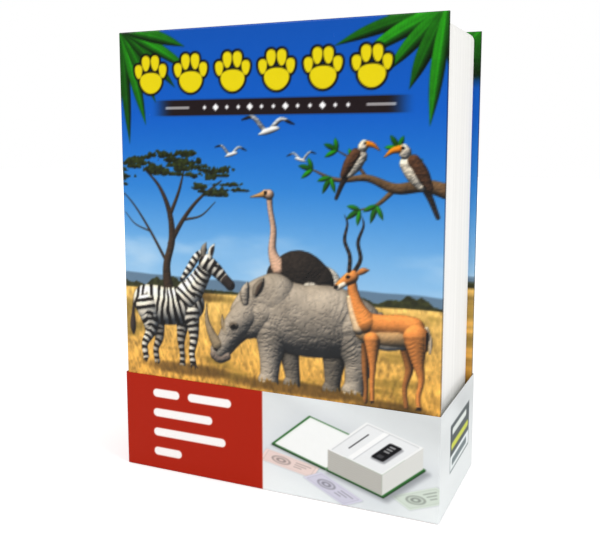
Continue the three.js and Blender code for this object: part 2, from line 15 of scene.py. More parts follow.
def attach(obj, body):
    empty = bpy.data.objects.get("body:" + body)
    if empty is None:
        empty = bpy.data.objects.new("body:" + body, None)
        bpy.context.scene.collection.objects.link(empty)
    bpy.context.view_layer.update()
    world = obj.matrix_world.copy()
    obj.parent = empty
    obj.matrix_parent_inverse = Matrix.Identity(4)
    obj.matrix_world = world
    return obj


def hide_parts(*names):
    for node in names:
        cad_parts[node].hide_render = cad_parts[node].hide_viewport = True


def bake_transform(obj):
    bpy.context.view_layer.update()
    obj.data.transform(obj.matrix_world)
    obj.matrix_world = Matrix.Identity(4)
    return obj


Array = np.ndarray
Piece = bpy.types.Object
Mesh = bpy.types.Mesh
Node = bpy.types.Node
Socket = bpy.types.NodeSocket
Sockets = bpy.types.bpy_prop_collection
Tree = bpy.types.NodeTree
Spot = tuple[float, float]
Tone = tuple[float, float, float]
Part = tuple[slice, slice]

LOG = logging.getLogger("book_safe")
# A millimetre in metres
MM = 0.001
WHOLE: Part = (slice(None), slice(None))
# Degrees past which an edge is sharp, and past which a softened piece's edge is rounded
CREASE, ROUNDED_FROM = 35.0, 40.0
# Metres under which doubled points are joined: of a skin, and of a finished piece
JOINED, WELDED = 1e-6, 1e-7
# Width of the table of random heights behind the noise
LATTICE = 128


class Body(str, Enum):
    """The rigid bodies that pieces ride on."""

    BOOK = "book"
    COVER = "front_cover"
    DOOR = "door"
    LATCH = "latch"
    WHEEL_1 = "wheel_1"
    WHEEL_2 = "wheel_2"
    WHEEL_3 = "wheel_3"


class Slot(str, Enum):
    """The record's material slots."""

    COVER_PRINT = "cover_print"
    BOARD = "cover_board"
    ENDPAPER = "endpaper"
    SLEEVE_PRINT = "sleeve_print"
    SLEEVE_PAPER = "sleeve_paper"
    BLOCK = "page_block"
    WHITE = "white_plastic"
    BLACK = "lock_black"
    CASE = "lock_case"
    WHEEL = "wheel_black"
    SHEET = "steel_sheet"
    SPRING = "spring_steel"
    SCREW = "screw_steel"
    BRASS = "sleeve_brass"


@dataclass(frozen=True)
class BookSizes:
    """Sizes of the case and the sleeve in millimetres, as the solids have them."""

    left: float = -76.5
    right: float = 76.5
    front: float = -32.2
    back: float = 32.2
    height: float = 205.0
    board_depth: float = 2.6
    paper: float = 0.3
    edge_round: float = 0.6
    fold_round: float = 1.7
    fold_depth: float = 0.7
    turn_in: float = 12.0
    sleeve_low: float = 0.3
    sleeve_high: float = 45.7
    sleeve_card: float = 0.35
    sleeve_front: float = -32.75
    sleeve_back: float = 32.75
    sleeve_left: float = -77.05
    sleeve_right: float = 77.05
    sleeve_round: float = 0.5
    sleeve_fold: float = 1.35


BOOK = BookSizes()


# Numbers that vary smoothly over the print


def smooth(value: Array, low: float, high: float) -> Array:
    """Ease from 0 at low to 1 at high: 3 t^2 - 2 t^3 of the share t between them."""
    t = np.clip((value - low) / (high - low), 0.0, 1.0)
    return t * t * (3.0 - 2.0 * t)


def speckle(x: Array, z: Array, cell: float, seed: int, octaves: int = 3,
            tall: float = 1.0) -> Array:
    """Smooth noise from 0 to 1.

    Random heights stand on a lattice of the given cell and are eased between; each octave
    halves the cell and the weight, and is shifted so that the lattices don't line up.

    Args:
        x, z: places in millimetres.
        cell: width of the largest cell.
        seed: fixes the random heights.
        octaves: number of layers.
        tall: height of a cell over its width.

    Returns:
        An array like x.
    """
    table = np.random.default_rng(seed).random((LATTICE, LATTICE))
    shift_u, shift_v = 17.3, 9.1
    total = np.zeros_like(x)
    for octave in range(octaves):
        u = x / cell * 2**octave + shift_u * octave
        v = z / (cell * tall) * 2**octave + shift_v * octave
        i, j = np.floor(u).astype(int), np.floor(v).astype(int)
        fu, fv = smooth(u - i, 0, 1), smooth(v - j, 0, 1)
        low, high = (table[i % LATTICE, k % LATTICE] * (1 - fu)
                     + table[(i + 1) % LATTICE, k % LATTICE] * fu for k in (j, j + 1))
        total += 0.5**octave * (low * (1 - fv) + high * fv)
    return total / (2 - 2 * 0.5**octaves)


def rounded_path(points: Array, steps: int) -> Array:
    """Carry rows of numbers along a Catmull-Rom curve through every row.

    Each stretch is a cubic whose slope at a row is half the way between that row's neighbours.

    Args:
        points: rows to pass through, (n, k).
        steps: rows made for each stretch.

    Returns:
        The rows of the curve, ((n - 1) * steps + 1, k).
    """
    p = np.vstack([2 * points[:1] - points[1:2], points, 2 * points[-1:] - points[-2:-1]])
    t = np.arange(steps)[None, :, None] / steps
    a, b, c, d = (p[i : len(p) - 3 + i, None, :] for i in range(4))
    curve = 0.5 * (2 * b + (c - a) * t + (2 * a - 5 * b + 4 * c - d) * t**2
                   + (3 * b - a - 3 * c + d) * t**3)
    return np.vstack([curve.reshape(-1, points.shape[1]), points[-1:]])


def outline_distance(x: Array, z: Array, outline: Array) -> Array:
    """Signed distance to a closed outline.

    It is the least distance to any side, negative where a level ray crosses the sides an odd
    number of times.

    Args:
        x, z: places (n, m).
        outline: its corners (k, 2).

    Returns:
        Signed distances (n, m).
    """
    best, inside = np.full(x.shape, 1e9), np.zeros(x.shape, bool)
    for (x0, z0), (x1, z1) in zip(outline, np.roll(outline, -1, 0)):
        dx, dz = x1 - x0, z1 - z0
        t = np.clip(((x - x0) * dx + (z - z0) * dz) / max(dx * dx + dz * dz, 1e-9), 0, 1)
        best = np.minimum(best, (x - x0 - t * dx) ** 2 + (z - z0 - t * dz) ** 2)
        if z0 != z1:
            inside ^= ((z0 > z) != (z1 > z)) & (x < x0 + (z - z0) / (z1 - z0) * dx)
    return np.where(inside, -1, 1) * np.sqrt(best)


def rounded_box(x0: float, x1: float, z0: float, z1: float, radius: float,
                right_radius: float | None = None, steps: int = 5) -> Array:
    """Outline of a rectangle whose corners are quarter turns.

    Args:
        x0, x1, z0, z1: its sides.
        radius: of the corners.
        right_radius: of the two corners at x1, where it is another.
        steps: points on each corner.

    Returns:
        Points (4 * steps, 2) from the upper right corner on, leftwards.
    """
    r, s = radius, radius if right_radius is None else right_radius
    corners = ((x1 - s, z1 - s, s), (x0 + r, z1 - r, r), (x0 + r, z0 + r, r), (x1 - s, z0 + s, s))
    turns = [np.linspace(0, math.pi / 2, steps) + k * math.pi / 2 for k in range(4)]
    return np.vstack([np.stack([x + size * np.cos(turn), z + size * np.sin(turn)], 1)
                      for turn, (x, z, size) in zip(turns, corners)])


def even_lines(low: float, high: float, step: float) -> Array:
    """Lines from low to high, close to a step apart."""
    return np.linspace(low, high, max(int(round(abs(high - low) / step)), 1) + 1)


def travel(line: Array) -> Array:
    """Length travelled along a line of points (n, 2) at each of them."""
    return np.cumsum(np.r_[0, np.hypot(*np.diff(line, axis=0).T)])


def as_light(colour: Array) -> Array:
    """Turn screen colours into linear ones: ((c + 0.055) / 1.055)^2.4, or c / 12.92 if dark."""
    colour = np.clip(colour, 0, 1)
    return np.where(colour <= 0.04045, colour / 12.92, ((colour + 0.055) / 1.055) ** 2.4)


def as_paint(colour: Tone) -> tuple[float, ...]:
    """Turn a screen colour into what a colour socket takes."""
    return (*as_light(np.array(colour)).tolist(), 1.0)


# The painter: a sheet of print worked out as whole arrays


@dataclass
class Canvas:
    """Colours at the crossings of a grid that covers a sheet, first painted at double fineness."""

    x_lines: Array
    z_lines: Array

    def __post_init__(self) -> None:
        """Lay out the fine grid between the lines."""
        self.fx, self.fz = (np.interp(np.arange(0, len(v) - 0.5, 0.5), np.arange(len(v)), v)
                            for v in (self.x_lines, self.z_lines))
        self.x, self.z = np.meshgrid(self.fx, self.fz, indexing="ij")
        self.ink = np.ones((*self.x.shape, 3))

    def window(self, low: Array | Spot, high: Array | Spot) -> Part:
        """The part of the fine grid between two corners, at least one line each way.

        Args:
            low, high: the corners, x and z.

        Returns:
            A slice of rows and one of columns.
        """
        spans = [np.searchsorted(lines, ends)
                 for lines, ends in zip((self.fx, self.fz), zip(low, high))]
        return tuple(slice(first, max(last, first + 1)) for first, last in spans)

    def wash(self, part: Part, colour: Array | Tone, cover: Array) -> None:
        """Lay a colour over a part: old * (1 - cover) + colour * cover."""
        cover = cover[..., None]
        self.ink[part] = self.ink[part] * (1 - cover) + np.asarray(colour) * cover

    def shape(self, outline: Array, colour: Tone, soft: float = 0.35, cover: float = 1.0,
              grow: float = 0.0) -> None:
        """Fill a closed outline.

        Args:
            outline: its corners (k, 2).
            colour: of the fill.
            soft: width over which the edge is eased.
            cover: strength of the fill.
            grow: how far the edge is moved out.
        """
        pad = soft + abs(grow) + 1
        part = self.window(outline.min(0) - pad, outline.max(0) + pad)
        distance = outline_distance(self.x[part], self.z[part], outline) - grow
        self.wash(part, colour, cover * (1 - smooth(distance, -soft, soft)))

    def bar(self, middle: float, half: float, ends: Spot, radius: float, colour: Tone,
            soft: float) -> None:
        """Fill a level bar with rounded ends.

        Args:
            middle: its height on the sheet.
            half: half its thickness.
            ends: its x from and to.
            radius: of its corners.
            colour: of the fill.
            soft: width over which the edge is eased.
        """
        self.shape(rounded_box(*ends, middle - half, middle + half, radius), colour, soft)

    def sampled(self) -> Array:
        """Blur the fine grid with weights 1, 2, 1 each way and keep every other line.

        Returns:
            The colours at the crossings of the lines.
        """
        ink = np.pad(self.ink, ((1, 1), (1, 1), (0, 0)), mode="edge")
        ink = 0.25 * ink[:-2] + 0.5 * ink[1:-1] + 0.25 * ink[2:]
        ink = 0.25 * ink[:, :-2] + 0.5 * ink[:, 1:-1] + 0.25 * ink[:, 2:]
        return ink[::2, ::2]


# Finishes


@dataclass
class Wiring:
    """Places nodes in one tree and joins them."""

    tree: Tree

    def fill(self, node: Node, values: dict[str | int, object]) -> Node:
        """Fill a node's inputs.

        Args:
            node: the node.
            values: by name or number, a value or another node's socket.

        Returns:
            The node.
        """
        for key, value in values.items():
            if isinstance(value, Socket):
                self.tree.links.new(value, node.inputs[key])
            else:
                node.inputs[key].default_value = value
        return node

    def add(self, kind: str, values: dict[str | int, object] | None = None,
            **settings: object) -> Node:
        """Add a node.

        Args:
            kind: its Blender type.
            values: what its inputs take.
            settings: its own properties.

        Returns:
            The node.
        """
        node = self.tree.nodes.new(kind)
        for key, value in settings.items():
            setattr(node, key, value)
        return self.fill(node, values or {})

    def maths(self, operation: str, *values: object) -> Socket:
        """Add a Math node and return its result."""
        return self.add("ShaderNodeMath", dict(enumerate(values)), operation=operation).outputs[0]


def new_group(name: str, inputs: dict[str, object],
              outputs: tuple[str, ...]) -> tuple[Wiring, Sockets, Node]:
    """Start a shader node group with named sockets.

    Args:
        name: of the group.
        inputs: starting values: one number, three for a vector or four for a colour.
        outputs: names, of which Color is a colour and the others are numbers.

    Returns:
        Its wiring, the sockets of its inputs and its output node.
    """
    tree = bpy.data.node_groups.new(name, "ShaderNodeTree")
    for label, value in inputs.items():
        kind = {1: "Float", 3: "Vector", 4: "Color"}[np.size(value)]
        tree.interface.new_socket(name=label, in_out="INPUT",
                                  socket_type=f"NodeSocket{kind}").default_value = value
    for label in outputs:
        kind = "Color" if label == "Color" else "Float"
        tree.interface.new_socket(name=label, in_out="OUTPUT", socket_type=f"NodeSocket{kind}")
    w = Wiring(tree)
    return w, w.add("NodeGroupInput").outputs, w.add("NodeGroupOutput")


def grain_group() -> Tree:
    """Noise on the piece's own place, stretched by a vector: it varies colour and roughness.

    Colour = base times (1 + mottle * (noise - 0.5)); roughness = rough + spread * (noise - 0.5);
    height = noise.

    Returns:
        The group.
    """
    w, given, out = new_group(
        "surface_grain", {"Base": (0.8, 0.8, 0.8, 1), "Stretch": (500, 500, 500), "Mottle": 0.1,
                          "Rough": 0.5, "Spread": 0.1}, ("Color", "Roughness", "Height"))
    here = w.add("ShaderNodeTexCoord").outputs["Object"]
    there = w.add("ShaderNodeVectorMath", {0: here, 1: given["Stretch"]}, operation="MULTIPLY")
    noise = w.add("ShaderNodeTexNoise", {"Vector": there.outputs[0], "Scale": 1.0, "Detail": 5.0,
                                         "Roughness": 0.6}).outputs["Fac"]
    off = w.maths("SUBTRACT", noise, 0.5)
    level = w.maths("ADD", w.maths("MULTIPLY", off, given["Mottle"]), 1.0)
    grey = w.add("ShaderNodeCombineXYZ", {0: level, 1: level, 2: level}).outputs[0]
    colour = w.add("ShaderNodeVectorMath", {0: given["Base"], 1: grey}, operation="MULTIPLY")
    rough = w.maths("ADD", w.maths("MULTIPLY", off, given["Spread"]), given["Rough"])
    w.fill(out, {"Color": colour.outputs[0], "Roughness": rough, "Height": noise})
    return w.tree


def wear_group() -> Tree:
    """Mix a lighter colour in where the surface is sharply convex, broken up by noise: rubbed edges,
    and on the white moulding a painted highlight.

    Share = amount * noise * the rise of pointiness from 0.52 to 0.62.

    Returns:
        The group.
    """
    w, given, out = new_group("edge_wear_and_sheen", {"Base": (0.1, 0.1, 0.1, 1), "Worn and sheen": (0.4, 0.4, 0.4, 1),
                                            "Amount": 0.3}, ("Color",))
    here = w.add("ShaderNodeTexCoord").outputs["Object"]
    noise = w.add("ShaderNodeTexNoise", {"Vector": here, "Scale": 700.0, "Detail": 3.0})
    convex = w.add("ShaderNodeNewGeometry").outputs["Pointiness"]
    mask = w.add("ShaderNodeMapRange", {"Value": convex, "From Min": 0.52, "From Max": 0.62})
    broken = w.maths("MULTIPLY", mask.outputs[0], noise.outputs["Fac"])
    mixed = w.add("ShaderNodeMix", {0: w.maths("MULTIPLY", broken, given["Amount"]),
                                    6: given["Base"], 7: given["Worn and sheen"]}, data_type="RGBA")
    w.fill(out, {0: mixed.outputs[2]})
    return w.tree


@dataclass(frozen=True)
class Look:
    """A built material and the record's slot that it fills."""

    material: bpy.types.Material
    slot: Slot


Looks = dict[str, Look]


@dataclass(frozen=True)
class Finish:
    """A material: its colour, or the print on the piece, through the shared grain and the lighter
    sharp edges (rubbing, and a painted highlight).
    """

    name: str
    slot: Slot
    colour: Tone = (0.8, 0.8, 0.8)
    printed: bool = False
    rough: float = 0.5
    spread: float = 0.1
    metallic: float = 0.0
    specular: float = 0.5
    coat: float = 0.0
    coat_rough: float = 0.1
    stretch: float | Tone = 900.0
    mottle: float = 0.06
    bump: float = 0.02
    # Lighter sharp edges, their share and colour: rubbing, and on white moulding a painted highlight
    wear: float = 0.0
    worn: Tone = (0.5, 0.5, 0.5)

    def make(self, grain: Tree, wear: Tree) -> Look:
        """Build the material.

        Args:
            grain: the group that varies colour and roughness.
            wear: the group that mixes a lighter colour into sharp edges, as rubbing and as a painted
                highlight.

        Returns:
            The material with its slot.
        """
        material = bpy.data.materials.new(self.name)
        material.use_nodes = True
        w = Wiring(material.node_tree)
        base: object = as_paint(self.colour)
        if self.printed:
            base = w.add("ShaderNodeVertexColor", layer_name="ink").outputs[0]
        if self.wear:
            base = w.add("ShaderNodeGroup", {"Base": base, "Worn and sheen": as_paint(self.worn),
                                             "Amount": self.wear}, node_tree=wear).outputs[0]
        grained = w.add("ShaderNodeGroup", {
            "Base": base, "Stretch": np.broadcast_to(self.stretch, 3).tolist(),
            "Mottle": self.mottle, "Rough": self.rough, "Spread": self.spread},
            node_tree=grain).outputs
        bump = w.add("ShaderNodeBump", {"Height": grained["Height"], "Strength": 1.0,
                                        "Distance": self.bump * MM})
        w.fill(material.node_tree.nodes["Principled BSDF"], {
            "Base Color": grained["Color"], "Roughness": grained["Roughness"],
            "Normal": bump.outputs[0], "Metallic": self.metallic,
            "Specular IOR Level": self.specular, "Coat Weight": self.coat,
            "Coat Roughness": self.coat_rough})
        return Look(material, self.slot)


FINISHES = (
    Finish("laminated_print", Slot.COVER_PRINT, printed=True, rough=0.26, spread=0.06,
           specular=0.2, coat=0.08, coat_rough=0.12, stretch=260, mottle=0.05, bump=0.004),
    Finish("sleeve_print", Slot.SLEEVE_PRINT, printed=True, rough=0.36, spread=0.08,
           specular=0.12, stretch=500, mottle=0.03, bump=0.006),
    Finish("grey_board", Slot.BOARD, (0.6, 0.57, 0.52), rough=0.9, stretch=1500, mottle=0.5,
           bump=0.05),
    Finish("endpaper", Slot.ENDPAPER, (0.95, 0.945, 0.92), rough=0.75, stretch=1200, mottle=0.05,
           bump=0.012),
    Finish("page_block", Slot.BLOCK, (0.96, 0.955, 0.94), rough=0.6, stretch=(6, 330, 6),
           mottle=0.34, bump=0.03),
    # Its sharp edges go to pure white: a painted highlight
    Finish("white_moulding", Slot.WHITE, (0.955, 0.955, 0.945), rough=0.36, stretch=800,
           mottle=0.03, bump=0.01, wear=0.2, worn=(1, 1, 1)),
    Finish("black_moulding", Slot.BLACK, (0.075, 0.075, 0.08), rough=0.32, stretch=1400,
           mottle=0.3, wear=0.6, worn=(0.42, 0.42, 0.43)),
    Finish("black_case", Slot.CASE, (0.1, 0.1, 0.105), stretch=1400, mottle=0.3, bump=0.03,
           wear=0.5, worn=(0.4, 0.4, 0.4)),
    Finish("wheel_black", Slot.WHEEL, (0.085, 0.085, 0.09), rough=0.28, stretch=1400, mottle=0.2,
           bump=0.01, wear=0.7, worn=(0.45, 0.45, 0.46)),
    Finish("number_white", Slot.WHEEL, (0.96, 0.96, 0.94), mottle=0.05, bump=0.01),
    Finish("zinc_sheet", Slot.SHEET, (0.78, 0.79, 0.8), rough=0.34, spread=0.25, metallic=1.0,
           stretch=(60, 900, 3500), mottle=0.25, bump=0.006),
    Finish("spring_strip", Slot.SPRING, (0.7, 0.71, 0.74), rough=0.26, spread=0.2, metallic=1.0,
           stretch=(3500, 900, 60), mottle=0.2, bump=0.004),
    Finish("zinc_screw", Slot.SCREW, (0.8, 0.81, 0.82), rough=0.3, spread=0.2, metallic=1.0,
           stretch=1200, mottle=0.2, bump=0.01),
    Finish("turned_brass", Slot.BRASS, (0.84, 0.7, 0.42), rough=0.3, spread=0.2, metallic=1.0,
           stretch=(400, 400, 4000), mottle=0.2, bump=0.006),
)


def make_looks() -> Looks:
    """Build the shared groups and every finish, by its name."""
    grain, wear = grain_group(), wear_group()
    return {finish.name: finish.make(grain, wear) for finish in FINISHES}


# Meshes


def settle(mesh: Mesh, crease: float = CREASE, flatten: bool = False) -> None:
    """Join doubled points, turn faces outwards and shade smooth but for creases.

    Args:
        mesh: a closed skin, which is changed.
        crease: angle in degrees past which an edge stays sharp.
        flatten: join flat faces too.
    """
    work = bmesh.new()
    work.from_mesh(mesh)
    bmesh.ops.remove_doubles(work, verts=work.verts, dist=JOINED)
    if flatten:
        bmesh.ops.dissolve_limit(work, angle_limit=math.radians(1), verts=work.verts,
                                 edges=work.edges)
    bmesh.ops.recalc_face_normals(work, faces=work.faces)
    work.to_mesh(mesh)
    work.free()
    mesh.shade_smooth()
    mesh.set_sharp_from_angle(angle=math.radians(crease))


def place(piece: Piece, look: Look, body: Body | None, *nodes: str) -> Piece:
    """Put a piece in the scene; one with no body rides on none, and the caller bakes its place into
    its mesh.

    Args:
        piece: the object.
        look: its material and slot; only the material is put on the piece.
        body: the body that it rides on.
        nodes: the solids that it replaces.

    Returns:
        The piece.
    """
    if piece.name not in bpy.context.scene.collection.objects:
        bpy.context.scene.collection.objects.link(piece)
    piece.data.materials.clear()
    piece.data.materials.append(look.material)
    if nodes:
        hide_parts(*nodes)
    if body:
        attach(piece, body.value)
        LOG.info("%s rides on %s", piece.name, body.value)
    return piece


def bend(piece: Piece) -> None:
    """Bake the place of a strip of the fold between the cover and the book into its mesh.

    Args:
        piece: the strip.
    """
    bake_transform(piece)
    LOG.info("%s bends between %s and %s", piece.name, Body.COVER.value, Body.BOOK.value)


def softened(node: str, look: Look, body: Body, width: float, segments: int = 2) -> None:
    """Stand for a solid with a merged copy whose edges are rounded.

    Args:
        node: the solid.
        look: its material and slot.
        body: the body that it rides on.
        width: of the rounding in millimetres.
        segments: facets of the rounding.
    """
    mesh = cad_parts[node].data.copy()
    mesh.name = f"{node}_moulded"
    settle(mesh, flatten=True)
    piece = bpy.data.objects.new(mesh.name, mesh)
    bevel = piece.modifiers.new("rounded_edges", "BEVEL")
    bevel.width, bevel.segments = width * MM, segments
    bevel.limit_method, bevel.angle_limit = "ANGLE", math.radians(ROUNDED_FROM)
    bevel.harden_normals = True
    piece.modifiers.new("joined_points", "WELD").merge_threshold = WELDED
    place(piece, look, body, node)


def soften_all(looks: Looks, rows: tuple[tuple, ...]) -> None:
    """Soften solids, each row a solid, the name of its finish, its body and its rounding."""
    for node, name, body, *rounding in rows:
        softened(node, looks[name], body, *rounding)


@dataclass
class Skin:
    """Gathers surfaces in millimetres, with their print, into one Blender object."""

    name: str
    points: list[Array] = field(default_factory=list)
    inks: list[Array] = field(default_factory=list)
    faces: list[Array] = field(default_factory=list)
    count: int = 0

    def take(self, points: Array, ink: Array | Tone = (1.0, 1.0, 1.0)) -> Array:
        """Add points with their print.

        Args:
            points: places (n, 3).
            ink: one colour or one for each.

        Returns:
            The numbers of the points.
        """
        points = np.asarray(points, float).reshape(-1, 3)
        self.points.append(points)
        self.inks.append(np.broadcast_to(np.asarray(ink, float).reshape(-1, 3), points.shape))
        self.count += len(points)
        return np.arange(self.count - len(points), self.count)

    def weave(self, index: Array) -> None:
        """Add a face between every four neighbours of an array of point numbers."""
        quads = np.stack([index[:-1, :-1], index[1:, :-1], index[1:, 1:], index[:-1, 1:]], -1)
        self.faces.append(quads.reshape(-1, 4))

    def close(self, ring: Array) -> None:
        """Add one flat face round a ring of point numbers."""
        self.faces.append(np.asarray(ring)[None])

    def tube(self, index: Array) -> None:
        """Weave loops into a tube closed at both ends.

        Args:
            index: point numbers, a loop in each row.
        """
        self.weave(np.concatenate([index, index[:, :1]], 1))
        self.close(index[0])
        self.close(index[-1])

    def build(self, look: Look, body: Body | None, *nodes: str, crease: float = CREASE) -> Piece:
        """Make the object and put it in the scene.

        Args:
            look: its material and slot.
            body: the body that it rides on.
            nodes: the solids that it replaces.
            crease: angle in degrees past which an edge stays sharp.

        Returns:
            The finished object.
        """
        mesh = bpy.data.meshes.new(self.name)
        faces = [row for block in self.faces for row in block.tolist()]
        mesh.from_pydata((np.vstack(self.points) * MM).tolist(), [], faces)
        colours = np.ones((self.count, 4), np.float32)
        colours[:, :3] = as_light(np.vstack(self.inks))
        ink = mesh.attributes.new("ink", "FLOAT_COLOR", "POINT")
        ink.data.foreach_set("color", colours.ravel())
        settle(mesh, crease)
        return place(bpy.data.objects.new(self.name, mesh), look, body, *nodes)


def quarter_turn() -> tuple[Array, Array]:
    """Sine and cosine at four places over a quarter turn."""
    a = np.linspace(0, math.pi / 2, 4)
    return np.sin(a), np.cos(a)


@dataclass
class BentSheet:
    """A sheet carried along a line in X and Y, its head and tail rounded over.

    The section at each place is a closed loop in depth and height: the outer face with its
    print, round the head, down the inner face and back round the tail.
    """

    name: str
    line: Array
    inward: Array
    depth: Array
    z_lines: Array
    ink: Array

    def build(self, look: Look, body: Body | None, *nodes: str) -> Piece:
        """Weave the sections together and close both ends.

        Args:
            look: its material and slot.
            body: the body that it rides on.
            nodes: the solids that it replaces.

        Returns:
            The finished object.
        """
        skin = Skin(self.name)
        low, high = self.z_lines[0], self.z_lines[-1]
        s, c = quarter_turn()
        loops, inks = [], []
        for point, normal, depth, tint in zip(self.line, self.inward, self.depth, self.ink):
            r = min(BOOK.edge_round, depth / 2)
            z = np.clip(self.z_lines, low + r, high - r)
            arc_in, arc_up = r * (1 - c), r * s
            d = np.concatenate([z * 0, arc_in[1:], depth - arc_in[::-1], depth - arc_in,
                                arc_in[:0:-1]])
            h = np.concatenate([z, high - r + arc_up[1:], high - r + arc_up[::-1],
                                low + r - arc_up, low + r - arc_up[:0:-1]])
            loops.append(np.stack([point[0] + normal[0] * d, point[1] + normal[1] * d, h], 1))
            half_rim = 2 * len(s) - 1
            inks.append(np.concatenate([tint, np.repeat(tint[-1:], half_rim, 0),
                                        np.repeat(tint[:1], half_rim, 0)]))
        points = np.stack(loops)
        skin.tube(skin.take(points, np.stack(inks)).reshape(points.shape[:2]))
        return skin.build(look, body, *nodes)


def fold_line(centre: Spot, begin: float, turn: float, radius: float,
              steps: int = 8) -> tuple[Array, Array]:
    """Points and inward normals round a fold in X and Y: centre + radius * (cos a, sin a).

    Args:
        centre: of the arc.
        begin: angle at its start, in degrees.
        turn: angle swept, in degrees.
        radius: of the fold.
        steps: number of stretches.

    Returns:
        Points (n, 2) and normals (n, 2).
    """
    a = np.radians(begin + np.linspace(0, turn, steps + 1))
    out = np.stack([np.cos(a), np.sin(a)], 1)
    return np.array(centre) + radius * out, -out


def flat_then_fold(start: Spot, end: Spot, step: float, normal: Spot,
                   fold: tuple[Array, Array] | None = None) -> tuple[Array, Array]:
    """A straight stretch along X or Y that may go on round a fold.

    Args:
        start, end: of the stretch.
        step: between its points.
        normal: inward over the stretch.
        fold: the fold's points and normals, the first at the stretch's end.

    Returns:
        Points (n, 2) and normals (n, 2).
    """
    axis = 0 if start[1] == end[1] else 1
    run = even_lines(start[axis], end[axis], step)
    flat = np.tile(np.array(start), (len(run), 1))
    flat[:, axis] = run
    normals = np.tile(normal, (len(run), 1))
    if fold is None:
        return flat, normals
    return np.vstack([flat, fold[0][1:]]), np.vstack([normals, fold[1][1:]])


# The printed figures


class Mark(Enum):
    """What covers a limb of a painted figure."""

    PLAIN = 0
    HIDE = 1
    STRIPES = 2
    FEATHER = 3
    LEAF = 4
    COAT = 5


PLAIN, HIDE, STRIPES, FEATHER, LEAF, COAT = Mark


@dataclass(frozen=True)
class Limb:
    """A tapered run of a painted figure: rows of x, z and radius, its tone, lift and marks."""

    rows: tuple[Tone, ...]
    tone: Tone
    lift: float = 0.0
    mark: Mark = PLAIN


GREY = (0.66, 0.62, 0.57)
DARK_GREY = (0.47, 0.44, 0.4)
HORN = (0.62, 0.55, 0.44)
PALE = (0.98, 0.96, 0.91)
TAN = (0.93, 0.58, 0.29)
NAIL = (0.78, 0.72, 0.62)
FAR_PALE = (0.74, 0.72, 0.68)
EYE = (0.03, 0.03, 0.03)
HOOF = (0.16, 0.14, 0.13)
DOWN = (0.95, 0.92, 0.86)
FAR_TAN = (0.66, 0.42, 0.22)
TOE = (0.13, 0.1, 0.09)
WING_TIP = (0.1, 0.1, 0.12)
RHINO = [Limb(*run) for run in (
    (((49, 22, 7), (48, 11, 4.4), (47.5, 4, 3.5), (47, 1.5, 4.1)), DARK_GREY, 0, HIDE),
    (((27, 22, 6), (29, 11, 4), (30, 4, 3.4), (29.5, 1.5, 3.9)), DARK_GREY, 0, HIDE),
    (((18, 31, 13), (26, 30, 14.6), (36, 28.6, 14.8), (47, 29.4, 14.6),
     (57, 28, 12)), GREY, 4, HIDE),
    (((22, 36, 11.4), (15, 33.6, 10.2), (9, 29, 8)), GREY, 6, HIDE),
    (((17, 30, 9), (9.5, 24.5, 6)), GREY, 8, HIDE),
    (((8.6, 29, 6.4), (3.6, 23.4, 5.8), (-1.2, 16.6, 4.3), (-4.8, 12, 4.1)), GREY, 10, HIDE),
    (((7.6, 23, 4.4), (3, 17.6, 3.2), (-1, 12.4, 2.6)), DARK_GREY, 9, HIDE),
    (((-6.6, 10, 2.4), (-4.2, 8.6, 2.2), (-0.6, 9.8, 1.8)), (0.56, 0.5, 0.46), 11, HIDE),
    (((-5.4, 14.6, 2.8), (-8.4, 19.6, 1.9), (-10.3, 25, 1.1), (-10.4, 32, 0.2)), HORN, 12, COAT),
    (((-0.4, 20, 2.1), (-2.4, 24, 1.2), (-2.8, 28, 0.2)), HORN, 12, COAT),
    (((12.6, 36, 1.5), (14.6, 40.6, 2.3), (16.8, 44.6, 0.4)), DARK_GREY, 13, HIDE),
    (((13.4, 37.6, 0.6), (14.9, 40.8, 1.1), (16.2, 43.2, 0.3)), (0.3, 0.25, 0.22), 15),
    (((8.2, 34, 1.4), (8, 38.4, 2), (9.4, 42.6, 0.4)), GREY, 14, HIDE),
    (((21, 25, 8.6), (20, 14, 5.6), (19.6, 7, 4.5), (19.2, 3, 4.4),
     (18.8, 1.4, 4.9)), GREY, 8, HIDE),
    (((56.5, 27, 11), (59, 16, 7), (57.4, 8, 4.7), (56.8, 3, 4.5), (56.2, 1.4, 5)), GREY, 7, HIDE),
    (((15.6, 0.9, 0.9), (17.8, 0.5, 0.9)), NAIL, 14),
    (((52.6, 0.9, 0.9), (54.8, 0.5, 0.9)), NAIL, 13),
    (((67.4, 34, 1.3), (68.6, 28, 0.9), (68, 24, 1.1)), DARK_GREY, 6),
    (((2.2, 23.4, 1.5), (3.4, 23.6, 1.4)), (0.42, 0.38, 0.34), 15.5, HIDE),
    (((2.3, 23.2, 0.75), (2.9, 23.3, 0.75)), (0.05, 0.04, 0.04), 17),
    (((-6.6, 12.6, 0.5), (-5.8, 12.2, 0.5)), (0.14, 0.11, 0.1), 16))]
